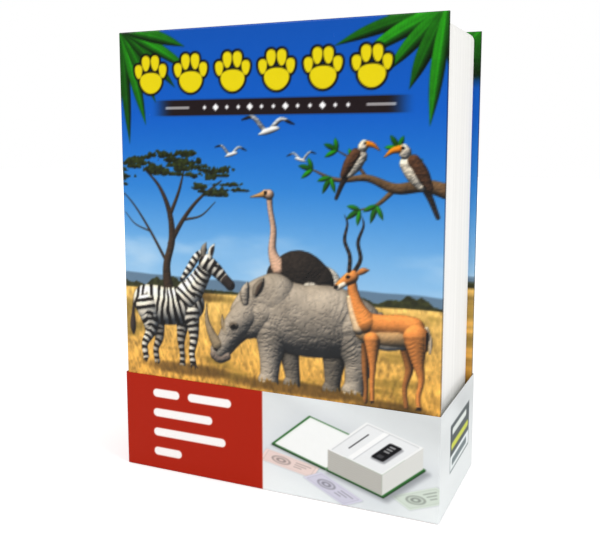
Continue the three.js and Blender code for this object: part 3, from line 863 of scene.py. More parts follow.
ZEBRA = [Limb(*run) for run in (
    (((27, 24, 4), (25.5, 14, 2.2), (26, 7, 1.5), (26, 2, 1.6)), FAR_PALE, 0, STRIPES),
    (((12, 24, 5), (13.5, 14, 2.5), (11.5, 8, 1.6), (12, 2, 1.6)), FAR_PALE, 0, STRIPES),
    (((7, 30.5, 7.8), (12, 29.6, 8.8), (18, 28.8, 8.9), (25, 29.8, 8.6),
     (31, 31, 7.4)), PALE, 3, STRIPES),
    (((29, 34, 7), (33.5, 39.5, 5.4), (37, 44.6, 4.4), (40, 49, 3.8)), PALE, 5, STRIPES),
    (((26.4, 42, 1), (30.6, 47.4, 1.8), (34.6, 53, 1.8), (39, 56.4, 1.2)), PALE, 4, STRIPES),
    (((39.6, 50.6, 4), (44.6, 47.4, 3.3), (49.6, 42.9, 2.5)), PALE, 7, STRIPES),
    (((49.4, 43.3, 2.5), (51.6, 41.2, 2.5)), (0.2, 0.17, 0.16), 8),
    (((52.6, 41.4, 0.4), (53, 41.1, 0.4)), EYE, 11),
    (((38.3, 53, 1.1), (38.3, 56.7, 1.5), (39.6, 59.6, 0.3)), (0.55, 0.52, 0.48), 8),
    (((41.4, 52.8, 1.1), (42.3, 56.4, 1.5), (43.8, 59.2, 0.3)), PALE, 9),
    (((42, 54.6, 0.4), (42.6, 56.8, 0.7), (43.4, 58.2, 0.2)), (0.25, 0.2, 0.18), 10.6),
    (((31, 27, 4.8), (32.4, 16, 2.5), (31.2, 8, 1.7), (32, 2, 1.7)), PALE, 6, STRIPES),
    (((7.4, 28, 6.8), (8.8, 17, 3.3), (5.2, 9.5, 1.8), (6, 2, 1.7)), PALE, 6, STRIPES),
    (((32, 1.4, 1.7), (32.8, 0.6, 1.8)), HOOF, 8),
    (((6, 1.4, 1.7), (6.8, 0.6, 1.8)), HOOF, 8),
    (((0.5, 33, 1), (-0.8, 26, 0.8), (-1.2, 18, 1.7), (-1.1, 14, 0.6)),
     (0.24, 0.2, 0.19), 2, COAT),
    (((44.2, 49.6, 0.62), (44.8, 49.5, 0.62)), EYE, 12))]
OSTRICH = [Limb(*run) for run in (
    (((21, 30, 4), (22, 20, 1.8), (25, 10, 1.1), (24, 2, 1), (20.5, 0.8, 0.9)), (0.6, 0.45, 0.36)),
    (((16, 32, 5), (15, 21, 2.1), (17.5, 11, 1.2), (16, 2, 1.1), (12.4, 0.8, 1)),
     (0.8, 0.62, 0.5), 5, COAT),
    (((9, 40, 7.5), (18, 42, 10.5), (27, 39, 8)), (0.16, 0.135, 0.12), 3, FEATHER),
    (((27, 43, 4.5), (33, 40, 4.4), (37, 35, 2)), DOWN, 2, FEATHER),
    (((22, 36, 4), (28, 33, 3.6), (33, 31, 1.6)), DOWN, 8, FEATHER),
    (((8, 43, 4.2), (4.5, 51, 2.2), (5, 61, 1.6), (3.5, 70, 1.4), (3, 76, 1.6)),
     (0.86, 0.7, 0.6), 6, COAT),
    (((3, 77, 2.4), (1, 77.2, 2.1)), (0.8, 0.66, 0.56), 7, COAT),
    (((0, 77, 1.5), (-3, 76.3, 0.9), (-6.4, 75.6, 0.4)), (0.8, 0.6, 0.36), 8),
    (((0.8, 77.8, 0.55), (1.2, 77.8, 0.55)), (0.03, 0.02, 0.02), 12))]
IMPALA = [Limb(*run) for run in (
    (((24.6, 27, 3.6), (25.4, 18, 1.9), (23.6, 10, 1.2), (24.4, 1.6, 1.1)), FAR_TAN, 0, COAT),
    (((7, 26, 2.8), (6, 16, 1.5), (6.6, 8, 1.1), (6.2, 1.6, 1.1)), FAR_TAN, 0, COAT),
    (((7, 33, 6), (14, 32, 6.4), (21, 32.6, 6.4), (26, 33, 6)), (0.96, 0.76, 0.52), 3, COAT),
    (((6, 35.4, 5.2), (14, 35.4, 4.8), (21, 36, 4.9), (27, 35.4, 5)), TAN, 5, COAT),
    (((8, 29, 3), (15, 28, 3.2), (22, 29, 3)), (0.99, 0.96, 0.9), 3.7, COAT),
    (((6, 36, 5), (2.6, 42, 3.4), (0.6, 48, 2.5), (-0.4, 53, 2.3)), TAN, 6, COAT),
    (((3.2, 33.6, 3), (0.4, 40, 2), (-1.4, 46, 1.3)), (0.97, 0.84, 0.68), 6.6, COAT),
    (((0, 55.4, 2.8), (-3.4, 53.2, 2.2), (-6.8, 50.4, 1.5)), TAN, 8, COAT),
    (((-3.8, 51.6, 1.2), (-6.6, 49.9, 1.1)), (0.98, 0.92, 0.84), 9.3, COAT),
    (((-7.3, 50.5, 0.8), (-7.9, 50, 0.7)), (0.1, 0.08, 0.07), 10.5),
    (((2, 56.4, 0.8), (4.6, 58, 1.4), (7.4, 58.6, 0.3)), (0.8, 0.5, 0.26), 8, COAT),
    (((0.6, 57, 1), (3.6, 63, 0.9), (2.4, 70, 0.8), (4.8, 77, 0.5), (4, 81, 0.15)),
     (0.2, 0.16, 0.13), 6, STRIPES),
    (((-1.4, 57.4, 1), (-1.2, 64, 0.9), (-3.6, 70.6, 0.8), (-2.4, 77.6, 0.5),
     (-3.8, 81.4, 0.15)), (0.26, 0.2, 0.16), 9, STRIPES),
    (((9, 29, 3.6), (9.4, 18, 1.7), (9.2, 9, 1.15), (9.4, 1.6, 1.1)), TAN, 7, COAT),
    (((28, 32, 5.6), (29, 22, 2.9), (30.6, 14, 1.4), (29.4, 7, 1.15),
     (29.8, 1.6, 1.1)), TAN, 7, COAT),
    (((9.4, 1.4, 1.1), (8.9, 0.6, 1.1)), TOE, 8.2),
    (((29.8, 1.4, 1.1), (29.3, 0.6, 1.1)), TOE, 8.2),
    (((32.4, 36, 1), (34, 31, 1), (34, 26, 0.6)), (0.95, 0.86, 0.74), 6, COAT),
    (((32.6, 34, 0.5), (32.6, 27, 0.6)), (0.14, 0.1, 0.08), 12),
    (((-2.2, 55, 0.6), (-1.8, 55.1, 0.6)), (0.04, 0.02, 0.02), 13))]
HORNBILL = [Limb(*run) for run in (
    (((4, 2, 2.2), (9, -6, 1.5), (13, -15, 1)), (0.16, 0.14, 0.14), 0, FEATHER),
    (((0, 7, 3.8), (3, 2.6, 4), (6, -2, 2.4)), (0.97, 0.93, 0.86), 2, FEATHER),
    (((2.4, 8, 2.9), (6, 3, 3), (9.4, -3, 1.6)), (0.36, 0.24, 0.17), 4, FEATHER),
    (((-1.4, 11.6, 2.8), (-2, 12.6, 2.6)), (0.9, 0.86, 0.8), 4, FEATHER),
    (((-4, 13, 1.7), (-7, 12.2, 1.3), (-10.4, 9.6, 0.3)), (0.98, 0.55, 0.08), 5),
    (((-2.6, 13.5, 0.5), (-2.2, 13.5, 0.5)), (0.04, 0.02, 0.02), 9))]
BIRD = [Limb(*run) for run in (
    (((-11, 4.5, 0.3), (-6, 5.4, 0.9), (-1.4, 0.6, 1.1)), (0.62, 0.64, 0.68), 0, FEATHER),
    (((-11, 4.5, 0.3), (-9, 5.1, 0.6), (-7.6, 5.4, 0.5)), WING_TIP, 2),
    (((11.5, 2.6, 0.3), (6, 4.6, 0.9), (1.2, 0.4, 1.1)), (0.7, 0.72, 0.76), 0, FEATHER),
    (((11.5, 2.6, 0.3), (9.4, 3.4, 0.6), (8, 3.9, 0.5)), WING_TIP, 2),
    (((-3.6, -1.2, 0.4), (0, 0, 1.3), (4, 1, 0.9), (5.4, 1.1, 0.2)), (0.97, 0.97, 0.97), 1))]
CLUMPS = 46
TRUNK = [Limb(rows, (0.24, 0.18, 0.13), 0, HIDE) for rows in (
    ((0, 0, 2.8), (-1, 12, 1.9), (2, 24, 1.7), (1, 36, 1.3), (-4, 47, 0.8), (-12, 55, 0.3)),
    ((1, 22, 1.3), (8, 33, 1.0), (16, 42, 0.7), (27, 50, 0.3)),
    ((1, 34, 1.0), (6, 45, 0.7), (9, 55, 0.3)),
    ((-1, 14, 0.8), (-9, 27, 0.6), (-17, 38, 0.4), (-25, 46, 0.2)),
    ((9, 33, 0.6), (17, 35, 0.4), (24, 41, 0.2)),
    ((-9, 27, 0.4), (-17, 30, 0.3), (-22, 35, 0.2)))]
BOUGH = [Limb(rows, (0.42, 0.32, 0.22), 0, HIDE) for rows in (
    ((0, 0, 3.2), (-10, 2.4, 2.6), (-22, 1, 2.2), (-34, 5, 1.5), (-47, 4, 1), (-58, 8, 0.4)),
    ((-22, 1, 1.2), (-30, -6, 0.8), (-37, -8, 0.3)),
    ((-34, 5, 0.9), (-40, 12, 0.6), (-47, 16, 0.3)),
    ((-10, 2.4, 1.1), (-17, 10, 0.7), (-21, 17, 0.3)))]


@dataclass
class Swept:
    """A limb's sphere-swept line measured over the sheet: gap to its skin, size and travel."""

    gap: Array
    size: Array
    along: Array

    @classmethod
    def over(cls, x: Array, z: Array, curve: Array) -> "Swept":
        """Measure every place against each stretch of the line and keep the nearest.

        Args:
            x, z: places (n, m).
            curve: rows of x, z and radius; travel goes on past its two ends.

        Returns:
            The three measures at every place.
        """
        best = np.stack([np.full(x.shape, 1e3), np.ones_like(x), np.zeros_like(x)])
        passed, last = 0.0, len(curve) - 2
        for number, ((x0, z0, r0), (x1, z1, r1)) in enumerate(zip(curve[:-1], curve[1:])):
            dx, dz = x1 - x0, z1 - z0
            length = math.hypot(dx, dz) + 1e-6
            free = ((x - x0) * dx + (z - z0) * dz) / length**2
            t = np.clip(free, 0, 1)
            reach = np.clip(free, -99 if number == 0 else 0, 99 if number == last else 1)
            radius = np.maximum(r0 + (r1 - r0) * t, 0.05)
            gap = np.hypot(x - x0 - t * dx, z - z0 - t * dz) - radius
            best = np.where(gap < best[0], [gap, radius, passed + reach * length], best)
            passed += length
        return cls(*best)


def marked(limb: Limb, swept: Swept, x: Array, z: Array, scale: float,
           seed: int) -> tuple[Array, Array]:
    """Work out a limb's tone and the roughness of its skin from its marks.

    Hide has creases, the low places of ridged noise; stripes follow the travel along the
    limb; feathers and coat are noise drawn out; a leaf has ribs slanted from its middle line.

    Args:
        limb: the run.
        swept: its measures at the places.
        x, z: places (n, m).
        scale: size of the figure.
        seed: fixes the noise.

    Returns:
        Tone (n, m, 3) and height to add (n, m).
    """
    tone, shade, bumps = np.array(limb.tone), np.ones_like(x), np.zeros_like(x)
    if limb.mark is HIDE:
        crease = np.abs(speckle(x + 0.25 * z, z, 3.4 * scale, seed, 3, 0.5) - 0.5)
        deep = 0.22 * scale
        bumps = deep * (smooth(crease, 0, 0.08) - 1) + deep * speckle(x, z, 1.2 * scale, seed + 1)
        shade = 0.8 + 0.4 * speckle(x, z, 6 * scale, seed + 40, 5)
    elif limb.mark is STRIPES:
        band = np.sin(swept.along / scale * 2.1 + 2.8 * speckle(x, z, 6 * scale, seed + 9, 2))
        dark = smooth(band, -0.1, 0.2)[..., None]
        tone = tone * (1 - dark) + np.array((0.1, 0.085, 0.08)) * dark
    elif limb.mark is FEATHER:
        bumps = 0.7 * scale * (speckle(x, z, 1.8 * scale, seed, 3, 0.4) - 0.5)
        shade = 0.65 + 0.7 * speckle(x, z, 1.2 * scale, seed + 3, 3, 0.5)
    elif limb.mark is COAT:
        bumps = 0.12 * scale * (speckle(x, z, scale, seed, 2) - 0.5)
        shade = 0.86 + 0.28 * speckle(x, z, 1.1 * scale, seed + 3, 4, 0.4)
    elif limb.mark is LEAF:
        rib = np.abs(np.sin(swept.along / scale * 2.0 + swept.gap / swept.size * 5))
        spine = smooth(-swept.gap / swept.size, 0.75, 1.0)
        shade = 0.8 + 0.16 * rib + 0.35 * spine + 0.2 * speckle(x, z, 2.5, seed)
    return tone * shade[..., None], bumps


def lit_up(colour: Array, height: Array, lines: tuple[Array, Array], scale: float) -> Array:
    """Light a relief from the upper left.

    Light = warm sun * (normal . lamp) + cool sky, less where the height lies under its own
    blurred copy.

    Args:
        colour: of the relief (n, m, 3).
        height: of the relief (n, m).
        lines: places of its rows and of its columns.
        scale: size of the figure.

    Returns:
        The lit colours (n, m, 3).
    """
    warm, cool = np.array((0.95, 0.88, 0.76)), np.array((0.3, 0.33, 0.38))
    lamp = (-0.45, 0.64, 0.62)
    across, up = np.gradient(height, *lines)
    steep = 1 / np.sqrt(1 + across**2 + up**2)
    sun = np.clip(steep * (-across * lamp[0] - up * lamp[1] + lamp[2]), 0, 1)
    around = height
    for step in (2, 3, 5):
        around = 0.25 * (np.roll(around, step, 0) + np.roll(around, -step, 0)
                         + np.roll(around, step, 1) + np.roll(around, -step, 1))
    shut = np.clip((around - height) / (5 * scale), 0, 0.45)[..., None]
    sky = 0.5 + 0.5 * steep * (1 - 0.6 * np.clip(up, -1, 1))
    light = sun[..., None] * warm + sky[..., None] * cool
    return np.clip(colour * light * (1 - shut), 0, 1)


def paint_pool(canvas: Canvas, low: Array, high: Array, foot: float, scale: float,
               seed: int) -> None:
    """Print a broken pool of shade on the ground under a figure.

    Args:
        canvas: the sheet.
        low, high: corners of the figure.
        foot: height of the ground.
        scale: size of the figure.
        seed: fixes the breaks.
    """
    part = canvas.window(low - 6, high + 6)
    x, z = canvas.x[part], canvas.z[part]
    middle, half = (low[0] + high[0]) / 2 + 4 * scale, 0.46 * (high[0] - low[0])
    pool = ((x - middle) / half) ** 2 + ((z - foot) / (3.6 * scale)) ** 2
    broken = 0.75 + 0.5 * speckle(x, z, 1.2, seed, 2, 3)
    canvas.wash(part, (0.24, 0.16, 0.06), 0.62 * (1 - smooth(pool * broken, 0.2, 1.1)))


def paint_figure(canvas: Canvas, limbs: list[Limb], at: Spot, scale: float = 1.0,
                 flip: bool = False, seed: int = 1, rooted: bool = False) -> None:
    """Model a figure as swept spheres, light it and print it.

    Height = lift + 0.85 sqrt(radius^2 - distance^2) over each limb's line, roughened by its
    marks; the limbs are joined by the greatest height.

    Args:
        canvas: the sheet.
        limbs: the figure's runs, in its own millimetres.
        at: where the figure's origin goes.
        scale: its size.
        flip: face the other way.
        seed: fixes the marks.
        rooted: let blades of grass stand before its feet, and its shadow fall there.
    """
    turned = np.array([-scale if flip else scale, scale, scale])
    curves = [rounded_path(np.array(limb.rows), 6) * turned + (*at, 0) for limb in limbs]
    low = np.min([(c[:, :2] - c[:, 2:]).min(0) for c in curves], 0) - 1
    high = np.max([(c[:, :2] + c[:, 2:]).max(0) for c in curves], 0) + 1
    part = canvas.window(low, high)
    x, z = canvas.x[part], canvas.z[part]
    if min(x.shape) < 3:
        return
    if rooted:
        paint_pool(canvas, low, high, at[1], scale, seed + 5)
    height, colour, edge = np.zeros_like(x), np.zeros((*x.shape, 3)), np.full(x.shape, 9.0)
    for number, (limb, curve) in enumerate(zip(limbs, curves)):
        swept = Swept.over(x, z, curve)
        tone, bumps = marked(limb, swept, x, z, scale, seed + number)
        dome = swept.size * np.sqrt(np.clip(1 - (1 + swept.gap / swept.size) ** 2, 0, 1))
        over = np.where(swept.gap < 0, limb.lift * scale + 0.85 * dome + bumps, -9.0)
        share = smooth(over - height, -0.5 * scale, 0.5 * scale)[..., None]
        colour = colour * (1 - share) + tone * share
        height, edge = np.maximum(height, over), np.minimum(edge, swept.gap)
    cover = 1 - smooth(edge, -0.3, 0.15)
    if rooted:
        blades = at[1] + scale * (0.2 + 4.2 * speckle(x, z * 0, 0.7, seed + 60, 2) ** 2)
        cover = cover * smooth(z - blades, -0.2, 0.5)
    lines = canvas.fx[part[0]], canvas.fz[part[1]]
    canvas.wash(part, lit_up(colour, height, lines, scale), cover)


def paint_savannah(canvas: Canvas, seed: int) -> None:
    """Lay down sky with haze, far hills, a dark line of trees and dry grass in patches.

    The ground starts at 0.43 of the height plus slow noise, hills and trees are faster noise
    over it, and grass is straw * (0.5 + tall, leaning and broad noise - specks).

    Args:
        canvas: the sheet.
        seed: fixes hills, trees and grass.
    """
    x, z = canvas.x, canvas.z
    up = z / BOOK.height
    canvas.ink = np.stack([np.interp(up, (0.40, 0.52, 0.66, 0.82, 1.0), np.array(tones) / 255)
                           for tones in ((170, 118, 44, 4, 0), (208, 178, 130, 92, 80),
                                         (236, 228, 212, 196, 178))], -1)
    haze = speckle(x, z, 40, seed + 1, 4, 0.3) * smooth(up, 0.75, 0.5)
    canvas.wash(WHOLE, (0.9, 0.94, 0.97), 0.45 * smooth(haze, 0.45, 0.9))
    ground = 0.43 * BOOK.height + 3.5 * (speckle(x, x * 0, 46, seed, 2) - 0.5)
    hill = ground + 3 + 6 * speckle(x, x * 0, 60, seed + 2, 4)
    canvas.wash(WHOLE, (0.33, 0.42, 0.5), 0.8 * smooth(hill - z, -0.4, 0.4))
    clumps = ground + 0.6 + 9 * speckle(x, x * 0, 9, seed + 3, 5) ** 2.2
    leafy = 0.55 + 0.9 * speckle(x, z, 1.6, seed + 4)
    canvas.wash(WHOLE, np.array((0.19, 0.2, 0.1)) * leafy[..., None],
                smooth(clumps - z, -0.3, 0.3))
    depth = np.clip((ground - z) / ground, 0, 1)
    fine = speckle(x + 0.35 * z, z, 0.8, seed + 5, 2, 5.0)
    lean = speckle(x - 0.3 * z, z, 1.5, seed + 8, 3, 4.0)
    tuft = speckle(x, z, 9, seed + 6, 4, 0.45)
    speck = smooth(speckle(x, z, 1.1, seed + 10, 2, 1.6), 0.5, 0.72)
    light = 0.5 + 0.44 * fine + 0.3 * lean + 0.32 * tuft - 0.3 * speck * depth**0.5
    depth = depth[..., None]
    straw = np.array((0.93, 0.75, 0.4)) * (1 - depth) + np.array((0.86, 0.56, 0.16)) * depth
    canvas.wash(WHOLE, straw * light[..., None], smooth(ground - z, -0.3, 0.5))
    patch = speckle(x, z, 26, seed + 7, 4, 0.22) * (0.8 + 0.4 * fine)
    canvas.wash(WHOLE, (0.4, 0.34, 0.12),
                0.55 * smooth(patch, 0.5, 0.75) * smooth(ground - z, 0, 3))


def paint_tree(canvas: Canvas, at: Spot, scale: float, seed: int) -> None:
    """Print a flat-crowned tree: forked trunk, bare twigs and many small clumps of dark leaves.

    The clumps stand at random under an arch, height = 57 - 0.008 * across^2; each is a half
    ellipse over a flatter one, its rim broken by noise.

    Args:
        canvas: the sheet.
        at: foot of the trunk.
        scale: its size.
        seed: fixes the crown and the marks.
    """
    paint_figure(canvas, TRUNK, at, scale, seed=seed, rooted=True)
    dice = np.random.default_rng(seed)
    for number in range(CLUMPS):
        dx = dice.uniform(-30, 34)
        dz = 57 - 0.008 * (dx - 2) ** 2 + dice.normal(0, 2.2) - (6 if number % 5 == 0 else 0)
        half, rise = dice.uniform(4, 8.5) * scale, dice.uniform(1.2, 2.6) * scale
        cx, cz = at[0] + dx * scale, at[1] + dz * scale
        part = canvas.window((cx - half - 2, cz - rise - 2), (cx + half + 2, cz + rise + 2))
        x, z = canvas.x[part], canvas.z[part]
        bulk = 1 - ((x - cx) / half) ** 2 - ((z - cz) / np.where(z > cz, rise, 0.5 * rise)) ** 2
        broken = bulk + 2.6 * (speckle(x, z, 1.9 * scale, seed + number) - 0.6)
        shade = (0.45 + 0.5 * smooth((z - cz) / rise, -0.6, 1)
                 + 0.8 * (speckle(x, z, 1.1, seed + 30, 2) - 0.5))
        canvas.wash(part, np.array((0.2, 0.24, 0.09)) * shade[..., None],
                    smooth(broken, 0.0, 0.3) * smooth(bulk, -0.5, 0.0))


def paint_leaves(canvas: Canvas, at: Spot, spray: list[Tone], seed: int) -> None:
    """Print a spray of pointed leaves that hang from one place.

    A leaf sags with the square of its travel and is as wide as a sine's arch to the power 0.8.

    Args:
        canvas: the sheet.
        at: the place.
        spray: angle in degrees, length and width of each leaf.
        seed: fixes the marks.
    """
    for number, (angle, length, width) in enumerate(spray):
        a, sag = math.radians(angle), -0.12 * length
        rows = tuple((t * length * math.cos(a), t * length * math.sin(a) + sag * t * t,
                      max(width * math.sin(math.pi * min(0.08 + 0.92 * t, 1)) ** 0.8, 0.1))
                     for t in np.linspace(0, 1, 5))
        green = 0.8 + 0.6 * ((number * 37) % 10) / 10
        tone = (0.1 * green, 0.42 * green, 0.05 * green)
        paint_figure(canvas, [Limb(rows, tone, 0, LEAF)], at, seed=seed + number)


def paint_branch(canvas: Canvas, at: Spot, seed: int) -> None:
    """Print a bough from the edge with two perched birds and a few leaves on its twigs.

    Args:
        canvas: the sheet.
        at: where it grows in.
        seed: fixes the marks.
    """
    paint_figure(canvas, BOUGH, at, seed=seed)
    for dx, dz, turn in ((-37, -8, -150), (-30, -6, -110), (-47, 16, 150), (-40, 12, 60),
                         (-21, 17, 120), (-58, 8, 160), (-50, 5, -120), (-17, 10, 30)):
        spray = [(turn, 7, 1.2), (turn + 50, 6, 1.1), (turn - 50, 6, 1.1)]
        paint_leaves(canvas, (at[0] + dx, at[1] + dz), spray, seed + dx)
    for dx, dz, size, flip, more in ((-17, 4.4, 0.95, False, 2), (-37, 8.4, 0.8, True, 4)):
        paint_figure(canvas, HORNBILL, (at[0] + dx, at[1] + dz), size, flip, seed + more)


def paint_paws(canvas: Canvas, ends: Spot, low: float, size: float, count: int = 1) -> None:
    """Print a row of yellow paw marks with black outlines.

    Args:
        canvas: the sheet.
        ends: x from and to.
        low: height of the row's foot.
        size: of a mark.
        count: number of marks.
    """
    step = (ends[1] - ends[0]) / count
    pads = ((0, 0.3, 0.34, 0.27), (-0.37, 0.6, 0.12, 0.18), (-0.14, 0.8, 0.13, 0.2),
            (0.14, 0.8, 0.13, 0.2), (0.37, 0.6, 0.12, 0.18))
    turn = np.linspace(0, 2 * math.pi, 28, endpoint=False)
    for grow, tone in ((0.95, (0.03, 0.03, 0.02)), (0.0, (0.91, 0.83, 0.0))):
        for k in range(count):
            for cx, cz, rx, rz in pads:
                x = ends[0] + (k + 0.5) * step + size * (cx + rx * np.cos(turn))
                z = low + size * (cz + rz * np.sin(turn) + 0.05 * np.cos(turn) ** 2)
                canvas.shape(np.stack([x, z], 1), tone, 0.25, grow=grow)


def paint_strip(canvas: Canvas, left: float, right: float, low: float, high: float) -> None:
    """Print a dark strip whose ends fade out, two white rules and a row of small diamonds.

    Args:
        canvas: the sheet.
        left, right, low, high: sides of the strip.
    """
    white, fading = (1, 1, 1), 6
    part = canvas.window((left - fading, low), (right + fading, high))
    x = canvas.x[part]
    fade = smooth(x, left - fading, left + 7) * smooth(x, right + fading, right - 7)
    canvas.wash(part, (0.13, 0.06, 0.04), 0.93 * fade)
    middle, width = (low + high) / 2, right - left
    for a, b in ((0.02, 0.13), (0.87, 0.98)):
        canvas.bar(middle, 0.3, (left + a * width, left + b * width), 0.1, white, 0.2)
    for k in range(13):
        cx, half = left + width * (0.2 + 0.05 * k), 1.6 if k % 3 == 1 else 1.0
        canvas.shape(np.array(((cx - half, middle), (cx, middle - half), (cx + half, middle),
                               (cx, middle + half))), white, 0.2)


# The hard case


@dataclass
class CoverSheet:
    """The printed sheet round one board: face, rounded edges and turn-ins, one closed skin.

    Across the sheet's edge the profile is a list of (inset, depth): from the face round the
    outer edge to the turn-in's end, and back round the inner side. At inset d the path is the
    board's outline moved in by d on its head, fore-edge and tail.
    """

    name: str
    face: float
    inward: float
    x_lines: Array
    z_lines: Array
    ink: Array
    # Share of the print kept on the board's rounded outer edge: painted shade on that edge
    rim_shade: float = 0.68

    def profile(self) -> Array:
        """Insets and depths (n, 2) from the face's border to the inner face's border.

        Returns:
            The rows, both quarter turns outside, the turn-in's end and both inside.
        """
        r, t, p = BOOK.edge_round, BOOK.board_depth, BOOK.paper
        s, c = quarter_turn()
        q = r - p
        rows = ((r - r * s, r - r * c), (r - r * c, t - r + r * s),
                ((BOOK.turn_in, BOOK.turn_in), (t, t - p)),
                (r - q * s, t - r + q * c), (r - q * c, r - q * s))
        return np.hstack([np.array(pair) for pair in rows]).T

    def build(self, look: Look, body: Body, node: str) -> None:
        """Weave the face and its border and put the sheet in its place.

        Args:
            look: its material and slot.
            body: the body that it rides on.
            node: the solid that it replaces.
        """
        skin = Skin(self.name)
        x, z = np.meshgrid(self.x_lines, self.z_lines, indexing="ij")
        points = np.stack([x, np.full_like(x, self.face), z], -1)
        face = skin.take(points, self.ink).reshape(x.shape)
        skin.weave(face)
        head, side, tail = face[:-1, -1], face[-1, ::-1], face[-2::-1, 0]
        edge = np.concatenate([head, side, tail])
        border, tint = skin.points[0][edge], skin.inks[0][edge]
        spans = (len(head), len(side), len(tail))
        push_x, push_z = np.repeat((0.0, 1.0, 0.0), spans), np.repeat((1.0, 0.0, -1.0), spans)
        push_z[spans[0]], push_z[spans[0] + spans[1] - 1] = 1, -1
        rings = [edge]
        for inset, depth in self.profile()[1:]:
            move = BOOK.edge_round - inset
            across = np.minimum(border[:, 0] + push_x * move, BOOK.right - inset)
            up = np.clip(border[:, 2] + push_z * move, inset, BOOK.height - inset)
            ring = np.stack([across, np.full_like(up, self.face + self.inward * depth), up], 1)
            # The print round the board's outer edge is darkened here: painted shade
            rim = inset < 0.3 and depth < BOOK.board_depth - 0.1
            rings.append(skin.take(ring, tint * (self.rim_shade if rim else 1.0)))
        index = np.stack(rings, 1)
        skin.weave(index)
        mouth = np.concatenate([face[0], rings[-1][[0, -1]]])
        for ring in (rings[-1], index[0], index[-1], mouth):
            skin.close(ring)
        skin.build(look, body, node)


def carried(at: Array, lines: Array, ink: Array) -> Array:
    """Read a column of colours (n, 3), known at its lines, at other places."""
    return np.stack([np.interp(at, lines, ink[:, k]) for k in range(3)], -1)


